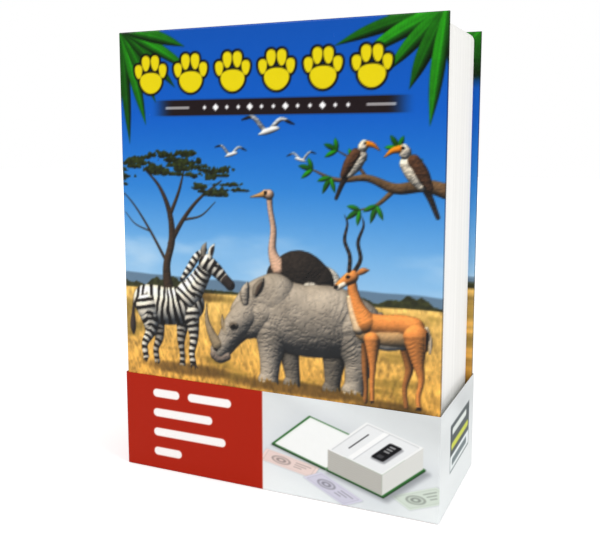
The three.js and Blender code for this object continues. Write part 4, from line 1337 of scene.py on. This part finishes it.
@dataclass
class HardCase:
    """Front cover, spine and back cover with their print, boards and endpapers."""

    picture_step: float = 0.56
    back_step: float = 0.8
    coarse_step: float = 4.0
    coarse_below: float = 43.0
    spine_step: float = 0.9
    spine_rise: float = 1.2

    def lines(self, step: float) -> tuple[Array, Array]:
        """Grid lines over a cover's face: fine above the sleeve, wider below it.

        Args:
            step: between the fine lines.

        Returns:
            Lines in x and lines in z.
        """
        r = BOOK.edge_round
        low = even_lines(r, self.coarse_below, self.coarse_step)[:-1]
        high = even_lines(self.coarse_below, BOOK.height - r, step)
        return even_lines(BOOK.left + BOOK.fold_round, BOOK.right - r, step), np.r_[low, high]

    def paint_front(self, canvas: Canvas) -> None:
        """Paint the front cover.

        Args:
            canvas: the sheet.
        """
        paint_savannah(canvas, 11)
        paint_tree(canvas, (25, 86), 1.05, 5)
        for at, size in (((76, 160), 1.1), ((58, 150), 0.7), ((92, 148), 0.6)):
            paint_figure(canvas, BIRD, at, size, size < 0.7)
        paint_branch(canvas, (155, 136), 70)
        paint_figure(canvas, OSTRICH[2:], (74, 60), 0.95, seed=21)
        for figure, at, size, seed in ((ZEBRA, (5.6, 51), 1.0, 8), (RHINO, (56, 49), 1.06, 3),
                                       (IMPALA, (115, 46), 0.98, 12)):
            paint_figure(canvas, figure, at, size, seed=seed, rooted=True)
        paint_leaves(canvas, (2, 206), [(-86, 46, 2.6), (-72, 40, 3), (-58, 34, 2.8),
                                        (-38, 36, 3), (-22, 40, 2.8), (-8, 34, 3)], 60)
        paint_leaves(canvas, (152, 206), [(-172, 46, 3), (-160, 36, 3.4), (-140, 30, 3.2),
                                          (-118, 30, 3.4), (-98, 40, 3)], 80)
        paint_paws(canvas, (7, 133), 176.5, 17.5, 6)
        paint_strip(canvas, 23, 135, 167, 174)

    def paint_back(self, canvas: Canvas) -> None:
        """Paint the back cover, seen from behind, so that x runs the other way.

        Args:
            canvas: the sheet.
        """
        paint_savannah(canvas, 23)
        paint_tree(canvas, (104, 84), 0.9, 15)
        paint_leaves(canvas, (152, 206), [(-172, 46, 3), (-158, 40, 3.4), (-140, 32, 3.2),
                                          (-116, 34, 3.4), (-97, 44, 3)], 90)
        for at, size in (((46, 150), 0.9), ((62, 160), 0.7), ((34, 160), 0.6)):
            paint_figure(canvas, BIRD, at, size)
        paint_figure(canvas, OSTRICH, (30, 58), 0.6, seed=31, rooted=True)

    def paint_spine(self, canvas: Canvas, first: Array, last: Array) -> None:
        """Paint the spine, which takes on the covers' own edges next to its folds.

        The two edges are mixed by the way across, and cover the spine's own print within about
        4 mm of a fold, with a noisy border.

        Args:
            canvas: the sheet.
            first, last: colours of the covers' edges at its lines.
        """
        paint_savannah(canvas, 11)
        x, z, end = canvas.x, canvas.z, canvas.fx[-1]
        share = smooth(x, 0, end)[..., None]
        start, stop = (carried(z, canvas.z_lines, side) for side in (first, last))
        near = np.minimum(x, end - x) + 2.5 * speckle(x, z, 3, 77)
        canvas.wash(WHOLE, start * (1 - share) + stop * share, 1 - smooth(near, 0.8, 4))
        paint_tree(canvas, (-26, 86), 1.05, 5)
        paint_leaves(canvas, (0, 206), [(-40, 24, 2.6), (-62, 32, 3), (-86, 42, 3)], 95)
        paint_paws(canvas, (20, 44), 170, 18)
        for low in (58, 74, 90, 106, 122, 138):
            paint_paws(canvas, (25, 39), low, 10)

    def build(self, looks: Looks) -> None:
        """Build every piece of the case.

        Args:
            looks: every finish by its name.
        """
        gloss = looks["laminated_print"]
        edges = []
        for side, step, paint, face, inward, body in (
                ("front", self.picture_step, self.paint_front, BOOK.front, 1.0, Body.COVER),
                ("back", self.back_step, self.paint_back, BOOK.back, -1.0, Body.BOOK)):
            x, z = self.lines(step)
            canvas = Canvas(x - BOOK.left, z)
            paint(canvas)
            ink = canvas.sampled()
            sheet = CoverSheet(f"{side}_cover_sheet", face, inward, x, z, ink)
            sheet.build(gloss, body, f"{side}_cover_wrap")
            edges.append((z, ink[0]))
        self.build_spine(gloss, edges)
        for node in ("front_cover_board", "back_cover_board", "spine_board"):
            body = Body.COVER if node.startswith("front") else Body.BOOK
            place(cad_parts[node], looks["grey_board"], body)
        soften_all(looks, (("front_endpaper", "endpaper", Body.COVER, 0.1),
                           ("back_endpaper", "endpaper", Body.BOOK, 0.1)))

    def build_spine(self, gloss: Look, edges: list[tuple[Array, Array]]) -> None:
        """Print and bend the spine's sheet and the strip of the front fold.

        The sheet is as thick as paper and board together, but thins out next to both folds.

        Args:
            gloss: the print's material and slot.
            edges: height lines and colours of each cover's edge.
        """
        r, left, front, back = BOOK.fold_round, BOOK.left, BOOK.front, BOOK.back
        rim = BOOK.edge_round
        lines = np.r_[0.0, even_lines(rim, BOOK.height - rim, self.spine_rise), BOOK.height]
        first, last = (carried(lines, z, ink) for z, ink in edges)
        arc, inward = fold_line((left + r, front + r), 270, -90, r)
        strip = BentSheet("front_fold_strip", arc, inward, np.full(len(arc), BOOK.fold_depth),
                          lines, np.repeat(first[None], len(arc), 0)).build(gloss, None)
        bend(strip)
        line, inward = flat_then_fold((left, front + r), (left, back - r), self.spine_step, (1, 0),
                                      fold_line((left + r, back - r), 180, -90, r))
        deeper = smooth(back - r - np.abs(line[:, 1]), 0.6, 1.4)
        depth = BOOK.fold_depth + (BOOK.board_depth - BOOK.fold_depth) * deeper
        canvas = Canvas(travel(line), lines)
        self.paint_spine(canvas, first, last)
        BentSheet("spine_sheet", line, inward, depth, lines, canvas.sampled()).build(
            gloss, Body.BOOK, "spine_wrap")


# The page block


@dataclass
class PageBlock:
    """The moulded box with page lines, the frame in its mouth, the keeper and the hinge pins."""

    left: float = -73.8
    right: float = 73.7
    low: float = 1.0
    high: float = 204.0
    front: float = -28.7
    back: float = 29.1
    wall: float = 2.4
    ledge_wall: float = 3.3
    ledge: float = -20.2
    floor: float = 26.7
    fore_round: float = 3.5
    spine_round: float = 1.0
    inner_round: float = 0.75
    page_step: float = 0.21
    groove: float = 0.09
    rim: float = 0.3
    rim_inset: float = 0.32
    rim_step: float = 0.12
    lip: float = 0.25
    floor_bevel: float = 0.5
    crease: float = 50.0

    def ring(self, inset: float, y: float) -> Array:
        """The block's outline moved in, at one depth.

        Args:
            inset: how far it is moved in.
            y: the depth.

        Returns:
            Points (n, 3).
        """
        near, far = (max(r - inset, self.inner_round) for r in (self.spine_round, self.fore_round))
        return np.insert(rounded_box(self.left + inset, self.right - inset, self.low + inset,
                                     self.high - inset, near, far, 7), 1, y, 1)

    def build(self, looks: Looks) -> None:
        """Build the shell, outside from back to front and on into its mouth, and dress the rest.

        A page line's inset = groove * (0.75 (1 - leaf noise) + 0.35 (1 - sheaf noise)).

        Args:
            looks: every finish by its name.
        """
        skin = Skin("page_block_moulded")
        y = even_lines(self.front + self.rim, self.back - self.rim, self.page_step)
        leaf, sheaf = speckle(y, y * 0, 0.85, 4, 2), speckle(y, y * 0, 5.0, 5, 2)
        insets = self.groove * (0.75 * (1 - leaf) + 0.35 * (1 - sheaf))
        rings = [(self.rim_inset, self.front), (self.rim_step, self.front + self.rim_step),
                 *zip(insets, y), (self.rim_step, self.back - self.rim_step),
                 (self.rim_inset, self.back)][::-1]
        rings += [(self.wall - self.lip, self.front), (self.wall, self.front + self.lip),
                  (self.wall, self.ledge), (self.ledge_wall, self.ledge),
                  (self.ledge_wall, self.floor - self.floor_bevel),
                  (self.ledge_wall + self.floor_bevel, self.floor)]
        skin.tube(np.stack([skin.take(self.ring(inset, depth)) for inset, depth in rings]))
        skin.build(looks["page_block"], Body.BOOK, "page_block_shell", crease=self.crease)
        screws = ("keeper_screw_1", "keeper_screw_2", "door_hinge_pin_lower",
                  "door_hinge_pin_upper")
        soften_all(looks, (("door_frame", "white_moulding", Body.BOOK, 0.35),
                           ("keeper_plate", "zinc_sheet", Body.BOOK, 0.12),
                           *((node, "zinc_screw", Body.BOOK, 0.06) for node in screws)))


# The paper sleeve


@dataclass
class BoxPicture:
    """A small picture of a book box that lies open on a table with plain paper slips by it.

    Places are measured in tenths of the real box, x across, y along, z up, and printed at
    u = 0.86 x + 0.45 y, v = -0.25 x + 0.38 y + 0.85 z.
    """

    canvas: Canvas
    at: Spot
    scale: float = 1.9

    def fill(self, points: Array | list[Tone], *look: object) -> None:
        """Fill an outline of places (n, 3) with a tone, a soft width and a cover."""
        axes = np.array(((0.86, -0.25), (0.45, 0.38), (0.0, 0.85)))
        self.canvas.shape(np.asarray(points, float) @ axes * self.scale + self.at, *look)

    def level(self, box: Array, height: float, tone: Tone | Array, soft: float = 0.2,
              cover: float = 1.0) -> None:
        """Fill an outline of x and y that lies level at a height."""
        self.fill(np.column_stack([box, np.full(len(box), height)]), tone, soft, cover)

    def boxes(self, *rows: tuple) -> None:
        """Fill level boxes, each row a box's sides and corner radius, then what level takes."""
        for box, *rest in rows:
            self.level(rounded_box(*box), *rest)

    def wall(self, x: Spot, y: Spot, z: Spot, tone: Tone, soft: float = 0.2) -> None:
        """Fill the upright face over a line from the first x and y to the second."""
        (x0, x1), (y0, y1), (low, high) = x, y, z
        self.fill([(x0, y0, low), (x1, y1, low), (x1, y1, high), (x0, y0, high)], tone, soft)

    def slip(self, at: Spot, turn: float, tone: Tone) -> None:
        """Print one paper slip: shadow, border, panel, a plain rosette and three bars.

        Args:
            at: its middle.
            turn: its angle in degrees.
            tone: of the paper.
        """
        a, paper = math.radians(turn), np.array(tone)
        spin = np.array(((math.cos(a), math.sin(a)), (-math.sin(a), math.cos(a))))
        turns = np.linspace(0, 2 * math.pi, 24, endpoint=False)
        parts = [
            (rounded_box(-7.2, 7.4, -3.5, 3.3, 0.3), (0.55, 0.56, 0.6), 0.7, 0.5),
            *((rounded_box(-x, x, -y, y, 0.3), paper * shade)
              for x, y, shade in ((7.2, 3.4, 1.0), (6.6, 2.9, 0.9), (6.3, 2.6, 0.97))),
            *((np.stack([1.25 * r * np.cos(turns) - 2.2, r * np.sin(turns)], 1), paper * shade,
               0.25) for r, shade in ((2.1, 0.72), (1.6, 0.92), (1.1, 0.66), (0.5, 0.95))),
            *((rounded_box(1.4, 5.6 - k, 1.3 - 1.2 * k, 1.7 - 1.2 * k, 0.15), paper * 0.7, 0.15)
              for k in range(3))]
        for outline, *rest in parts:
            self.level(outline @ spin + at, 0, *rest)

    def paint(self) -> None:
        """Print slips, the lid, the case and the block with its recess, slot and lock."""
        green, dark = (0.2, 0.42, 0.2), (0.1, 0.22, 0.1)
        self.boxes(((-19, 19, -8, 23, 4), 0, (0.74, 0.76, 0.79), 9.0, 0.4))
        self.slip((-8.5, -5.2), 12, (0.95, 0.86, 0.83))
        self.slip((5.2, -7.2), -16, (0.85, 0.84, 0.9))
        self.slip((21.6, 8), 70, (0.86, 0.9, 0.85))
        self.boxes(((0, 17.2, -1.6, 20.4, 1), 0, (0.45, 0.46, 0.48), 1.6, 0.6),
                   ((-16.4, -0.6, -0.9, 20.9, 0.5), 0, (0.5, 0.51, 0.52), 1.0, 0.6))
        self.wall((-16.2, -0.4), (-0.4, -0.4), (0, 0.45), dark)
        self.boxes(((-16.2, -0.4, -0.4, 20.8, 0.2), 0.45, green),
                   ((-15.6, -0.6, 0.2, 20.2, 0.2), 0.45, (0.93, 0.94, 0.92)),
                   ((-15.2, -0.6, 0.6, 19.8, 0.2), 0.45, (0.97, 0.975, 0.965), 1.2),
                   ((-0.4, 15.6, -0.4, 20.8, 0.2), 0, dark),
                   ((-0.4, 15.6, -0.4, 20.8, 0.2), 0.35, green))
        near, far = ((0, 15), (0, 0)), ((15, 15), (0, 20.4))
        self.wall(*near, (0.35, 6), (0.74, 0.73, 0.7))
        self.wall(*far, (0.35, 6), (0.88, 0.88, 0.86))
        for k in range(9):
            leaf = (0.8 + 0.6 * k, 0.95 + 0.6 * k)
            self.wall(*near, leaf, (0.68, 0.67, 0.64), 0.12)
            self.wall(*far, leaf, (0.82, 0.82, 0.8), 0.12)
        self.boxes(((0, 15, 0, 20.4, 0.3), 6, (0.97, 0.97, 0.965)),
                   ((0.6, 14.4, 0.6, 19.8, 0.3), 6, (0.8, 0.81, 0.81)),
                   ((0.75, 14.3, 0.75, 19.6, 0.3), 5.85, (0.93, 0.935, 0.935)),
                   ((5.2, 6.6, 0.8, 19.5, 0.1), 6, (0.985, 0.985, 0.98)),
                   ((6.6, 6.8, 0.8, 19.5, 0.1), 6, (0.74, 0.75, 0.76)),
                   ((3.1, 3.4, 5, 15.4, 0.1), 6, (0.12, 0.12, 0.13), 0.12),
                   ((8.9, 12.7, 5.2, 15.6, 0.7), 5.9, (0.5, 0.5, 0.52), 0.5, 0.7),
                   ((9, 12.3, 5.4, 15.4, 0.6), 6.3, (0.07, 0.07, 0.08)),
                   *(((9.9, 11.4, 10.1 + 1.5 * k, 10.9 + 1.5 * k, 0.1), 6.4, (0.62, 0.62, 0.62),
                      0.15) for k in range(3)),
                   ((9.9, 11.4, 6.4, 8.2, 0.2), 6.4, (0.26, 0.26, 0.27), 0.2))


@dataclass
class Sleeve:
    """The paper sleeve round the foot of the book, each panel with its print."""

    front_step: float = 0.4
    step: float = 0.6
    plain_step: float = 0.9
    red: Tone = (0.68, 0.12, 0.015)
    red_share: float = 0.478
    picture_at: Spot = (31.5, 14.5)
    bar_half: float = 2.0
    bar_round: float = 1.9
    corner_steps: int = 5

    def paint_red(self, canvas: Canvas) -> None:
        """Print the plain red ground."""
        canvas.wash(WHOLE, self.red, np.ones_like(canvas.x))

    def paint_pale(self, canvas: Canvas, seed: int = 9) -> None:
        """Print the sleeve's pale grey ground, darker in soft folds towards its upper edge.

        Shade = 0.99 - 0.07 * rise * (0.5 + fold noise) - 0.05 * fold noise.

        Args:
            canvas: the sheet.
            seed: fixes the folds.
        """
        x, z = canvas.x, canvas.z
        fold = speckle(x + 1.5 * z, z, 34, seed, 3, 0.6)
        shade = 0.99 - 0.07 * smooth(z, 12, 42) * (0.5 + fold) - 0.05 * fold
        canvas.wash(WHOLE, np.array((0.965, 0.98, 0.98)) * shade[..., None], np.ones_like(x))

    def paint_front(self, canvas: Canvas) -> None:
        """Paint the red block with its bars and the small picture beside it.

        Args:
            canvas: the sheet.
        """
        begin = BOOK.left - (BOOK.sleeve_left + BOOK.sleeve_fold)
        width = BOOK.right - BOOK.left
        split = begin + self.red_share * width
        self.paint_pale(canvas, 3)
        BoxPicture(canvas, (split + self.picture_at[0], self.picture_at[1])).paint()
        canvas.wash(WHOLE, self.red, 1 - smooth(canvas.x, split - 0.3, split + 0.3))
        for level, left, right in ((0.82, 0.1, 0.195), (0.82, 0.225, 0.375), (0.61, 0.1, 0.31),
                                   (0.4, 0.1, 0.355), (0.19, 0.1, 0.2)):
            middle = BOOK.sleeve_low + level * (BOOK.sleeve_high - BOOK.sleeve_low)
            canvas.bar(middle, self.bar_half, (begin + left * width, begin + right * width),
                       self.bar_round, (0.99, 0.98, 0.97), 0.25)

    def paint_side(self, canvas: Canvas) -> None:
        """Print the fore-edge panel: pale ground and a small label with plain bars in its rows.

        Args:
            canvas: the sheet.
        """
        self.paint_pale(canvas, 8)
        canvas.shape(rounded_box(17.5, 55, 14.6, 35.6, 0.3), (0.2, 0.25, 0.26), 0.25)
        canvas.shape(rounded_box(18, 54.5, 15.1, 21.7, 0.2), (0.93, 0.95, 0.95), 0.25)
        for middle, ends, tone in ((32, (21, 49), (0.9, 0.92, 0.9)),
                                   (25.6, (19.6, 53), (0.82, 0.84, 0.2)),
                                   (18.4, (21, 50), (0.4, 0.46, 0.47))):
            canvas.bar(middle, 1.5, ends, 1.3, tone, 0.3)

    def panel(self, name: str, path: tuple[Array, Array], step: float,
              paint: Callable[[Canvas], None], look: Look, body: Body | None) -> Piece:
        """Print one panel and bend it along its path.

        Args:
            name: of the piece, and of its solid but for the last word.
            path: points and inward normals.
            step: between lines in height.
            paint: fills its sheet.
            look: its material and slot.
            body: the body that it rides on; without one it stands for no solid.

        Returns:
            The finished object.
        """
        z = even_lines(BOOK.sleeve_low, BOOK.sleeve_high, step)
        canvas = Canvas(travel(path[0]), z)
        paint(canvas)
        card = np.full(len(path[0]), BOOK.sleeve_card)
        return BentSheet(name, *path, card, z, canvas.sampled()).build(
            look, body, *((f"{name}_panel",) if body else ()))

    def build(self, looks: Looks) -> None:
        """Build the four panels and the strip round the front fold.

        Args:
            looks: every finish by its name.
        """
        left, right, front, back = (BOOK.sleeve_left, BOOK.sleeve_right, BOOK.sleeve_front,
                                    BOOK.sleeve_back)
        r, big = BOOK.sleeve_round, BOOK.sleeve_fold
        inked = looks["sleeve_print"]
        paper = Look(inked.material, Slot.SLEEVE_PAPER)
        self.panel("sleeve_front", flat_then_fold(
            (left + big, front), (right - r, front), self.front_step, (0, 1),
            fold_line((right - r, front + r), 270, 90, r, self.corner_steps)),
            self.front_step, self.paint_front, inked, Body.COVER)
        self.panel("sleeve_fore_edge", flat_then_fold(
            (right, front + r), (right, back - r), self.step, (-1, 0),
            fold_line((right - r, back - r), 0, 90, r, self.corner_steps)),
            self.step, self.paint_side, paper, Body.BOOK)
        self.panel("sleeve_back", flat_then_fold(
            (right - r, back), (left + big, back), self.plain_step, (0, -1),
            fold_line((left + big, back - big), 90, 90, big)),
            self.step, self.paint_pale, paper, Body.BOOK)
        self.panel("sleeve_spine", flat_then_fold(
            (left, back - big), (left, front + big), self.plain_step, (1, 0)),
            self.step, self.paint_red, paper, Body.BOOK)
        strip = self.panel("sleeve_fold_strip", fold_line((left + big, front + big), 180, 90, big),
                           self.step, self.paint_red, inked, None)
        bend(strip)


# The door and its combination lock


def pose(*columns: Array | Tone) -> Matrix:
    """Make the matrix whose columns are three axes and a place."""
    return Matrix(np.vstack([np.column_stack(columns), [0, 0, 0, 1]]).tolist())


@dataclass
class LockDoor:
    """The door plate, the lock on it, its latch and its number wheels."""

    axis_x: float = 29.7
    axis_y: float = -17.7
    wheel_mid: Tone = (106.5, 114.5, 122.5)
    apothem: float = 9.745
    font_size: float = 5.46
    raised: float = 0.04
    flats: int = 10

    def build(self, looks: Looks) -> None:
        """Dress every part of the door.

        Args:
            looks: every finish by its name.
        """
        soften_all(looks, (
            ("lock_door", "white_moulding", Body.DOOR, 0.3),
            ("lock_bezel", "black_moulding", Body.DOOR, 0.3, 3),
            ("lock_chassis", "black_case", Body.DOOR, 0.25),
            *((f"lock_screw_{k}", "zinc_screw", Body.DOOR, 0.06) for k in (1, 2, 3)),
            ("detent_spring", "spring_strip", Body.DOOR, 0.05),
            ("gate_shaft", "zinc_sheet", Body.LATCH, 0.15),
            ("latch_plate", "zinc_sheet", Body.LATCH, 0.15),
            ("release_slider", "black_moulding", Body.LATCH, 0.1)))
        for number, middle in enumerate(self.wheel_mid, 1):
            body = Body(f"wheel_{number}")
            soften_all(looks, ((f"gate_sleeve_{number}", "turned_brass", body, 0.15),
                               (f"number_wheel_{number}", "wheel_black", body, 0.22)))
            self.digits(f"wheel_numbers_{number}", middle, looks["number_white"], body)

    def digits(self, name: str, middle: float, look: Look, body: Body) -> None:
        """Raise the digits 0 to 9 on a wheel's ten flats as one piece.

        A digit's right is towards the tail and its top towards the fore-edge, so that it
        reads along the row of wheels; its middle is the axis + out * (apothem + raised / 2).

        Args:
            name: of the piece.
            middle: height of the wheel.
            look: its material and slot.
            body: the wheel's body.
        """
        work = bmesh.new()
        axis, right = np.array([self.axis_x, self.axis_y, middle]), (0.0, 0.0, -1.0)
        for number in range(self.flats):
            turn = math.radians(360 / self.flats * number - 90)
            out = np.array([math.cos(turn), math.sin(turn), 0.0])
            up = (-math.sin(turn), math.cos(turn), 0.0)
            text = bpy.data.curves.new("digit", "FONT")
            text.body = str(number)
            text.align_x, text.align_y = "CENTER", "CENTER"
            text.size, text.extrude, text.resolution_u = self.font_size * MM, self.raised * MM, 4
            holder = bpy.data.objects.new("digit", text)
            mesh = bpy.data.meshes.new_from_object(holder)
            at = axis + out * (self.apothem + self.raised / 2)
            mesh.transform(pose(right, up, out, at * MM))
            work.from_mesh(mesh)
            bpy.data.objects.remove(holder)
            bpy.data.curves.remove(text)
            bpy.data.meshes.remove(mesh)
        bmesh.ops.remove_doubles(work, verts=work.verts, dist=WELDED)
        bmesh.ops.recalc_face_normals(work, faces=work.faces)
        mesh = bpy.data.meshes.new(name)
        work.to_mesh(mesh)
        work.free()
        place(bpy.data.objects.new(name, mesh), look, body)


# The studio


@dataclass
class Studio:
    """A pale floor, a white surround, soft light and the photograph's camera.

    The camera is the one fitted to the corners of the front cover and the back cover's far
    edge: it looks at the book a little from the right and a little from above.
    """

    pixels: float = 600.0
    sensor: float = 36.0
    focal: float = 776.0
    shift: float = 40.0
    pitch: float = 6.938
    turn: float = 0.4187
    away: float = 1.4692
    across: float = 0.275
    drop: float = 0.7614
    floor_lift: float = 0.34
    floor_half: float = 3.0
    glow_near: float = 0.25
    glow_far: float = 0.9
    far_lift: float = 0.8
    aim: Tone = (0.0, 0.0, 0.1)
    ambient: float = 0.66
    mirrored: float = 0.2

    def camera(self) -> None:
        """Place the camera by its turn and pitch from the front cover's lower right corner.

        Place = corner - height * (across * right + drop * down + away * level).
        """
        right = np.array([math.cos(self.turn), math.sin(self.turn), 0.0])
        level = np.array([-math.sin(self.turn), math.cos(self.turn), 0.0])
        down = np.array([0.0, 0.0, -1.0])
        a = math.radians(self.pitch)
        ahead = math.cos(a) * level + math.sin(a) * down
        below = math.cos(a) * down - math.sin(a) * level
        corner = np.array([BOOK.right * MM, BOOK.front * MM, 0.0])
        at = corner - BOOK.height * MM * (self.across * right + self.drop * down
                                          + self.away * level)
        lens = bpy.data.cameras.new("camera")
        lens.sensor_width = self.sensor
        lens.lens = self.focal / self.pixels * self.sensor
        lens.shift_y = -self.shift / self.pixels
        lens.clip_start = 0.01
        view = bpy.data.objects.new("camera", lens)
        view.matrix_world = pose(right, -below, -ahead, at)
        bpy.context.scene.collection.objects.link(view)
        bpy.context.scene.camera = view

    def floor(self) -> None:
        """Lay the pale floor: to the camera it is lifted to white, but for the book's shadow."""
        mesh = bpy.data.meshes.new("floor")
        h = self.floor_half
        mesh.from_pydata([(-h, -h, 0), (h, -h, 0), (h, h, 0), (-h, h, 0)], [], [(0, 1, 2, 3)])
        floor = bpy.data.objects.new("floor", mesh)
        finish = bpy.data.materials.new("floor")
        finish.use_nodes = True
        w = Wiring(finish.node_tree)
        seen = w.add("ShaderNodeLightPath").outputs["Is Camera Ray"]
        here = w.add("ShaderNodeTexCoord").outputs["Object"]
        out = w.add("ShaderNodeVectorMath", {0: here}, operation="LENGTH").outputs["Value"]
        lift = w.add("ShaderNodeMapRange", {
            "Value": out, "From Min": self.glow_near, "From Max": self.glow_far,
            "To Min": self.floor_lift, "To Max": self.far_lift})
        w.fill(finish.node_tree.nodes["Principled BSDF"], {
            "Base Color": (0.93, 0.93, 0.93, 1), "Roughness": 0.9, "Specular IOR Level": 0.1,
            "Emission Color": (1, 1, 1, 1),
            "Emission Strength": w.maths("MULTIPLY", seen, lift.outputs[0])})
        mesh.materials.append(finish)
        bpy.context.scene.collection.objects.link(floor)

    def surround(self) -> None:
        """Light the surround: white to the camera, softer as light, darker in reflections."""
        world = bpy.data.worlds.new("surround")
        bpy.context.scene.world = world
        world.use_nodes = True
        w = Wiring(world.node_tree)
        world.node_tree.nodes.clear()
        rays = w.add("ShaderNodeLightPath").outputs
        lit, glossy, white = (w.add("ShaderNodeBackground", {0: (1, 1, 1, 1), 1: level}).outputs[0]
                              for level in (self.ambient, self.mirrored, 1.0))
        seen = w.add("ShaderNodeMixShader", {0: rays["Is Glossy Ray"], 1: lit, 2: glossy})
        straight = w.maths("MAXIMUM", rays["Is Camera Ray"], rays["Is Transmission Ray"])
        final = w.add("ShaderNodeMixShader", {0: straight, 1: seen.outputs[0], 2: white})
        w.add("ShaderNodeOutputWorld", {0: final.outputs[0]})

    def lamp(self, name: str, at: Tone, size: float, power: float) -> None:
        """Hang a square area light that points at the middle of the book.

        Args:
            name: of the lamp.
            at: its place in metres.
            size: its side in metres.
            power: in watts.
        """
        light = bpy.data.lights.new(name, "AREA")
        light.size, light.energy = size, power
        lamp = bpy.data.objects.new(name, light)
        out = np.array(at) - self.aim
        out /= np.linalg.norm(out)
        side = np.cross((0, 0, 1), out)
        side /= np.linalg.norm(side)
        lamp.matrix_world = pose(side, np.cross(out, side), out, at)
        bpy.context.scene.collection.objects.link(lamp)

    def build(self) -> None:
        """Set up the whole studio."""
        self.camera()
        self.floor()
        self.surround()
        self.lamp("key_light", (-0.9, -1.3, 1.3), 1.0, 12.0)
        self.lamp("fill_light", (1.35, -0.25, 1.25), 0.8, 10.8)
        bpy.context.scene.view_settings.view_transform = "Standard"


def main() -> None:
    """Build the scene."""
    logging.basicConfig(level=logging.INFO, format="%(message)s")
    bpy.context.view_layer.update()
    looks = make_looks()
    Studio().build()
    for part in (HardCase(), PageBlock(), Sleeve(), LockDoor()):
        part.build(looks)


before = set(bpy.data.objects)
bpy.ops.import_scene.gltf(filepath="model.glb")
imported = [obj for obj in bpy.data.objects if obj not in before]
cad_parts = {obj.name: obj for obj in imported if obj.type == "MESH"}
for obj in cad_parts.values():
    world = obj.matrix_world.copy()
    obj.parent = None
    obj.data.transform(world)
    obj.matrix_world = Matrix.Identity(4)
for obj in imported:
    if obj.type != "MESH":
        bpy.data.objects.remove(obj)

if __name__ == "__main__":
    main()
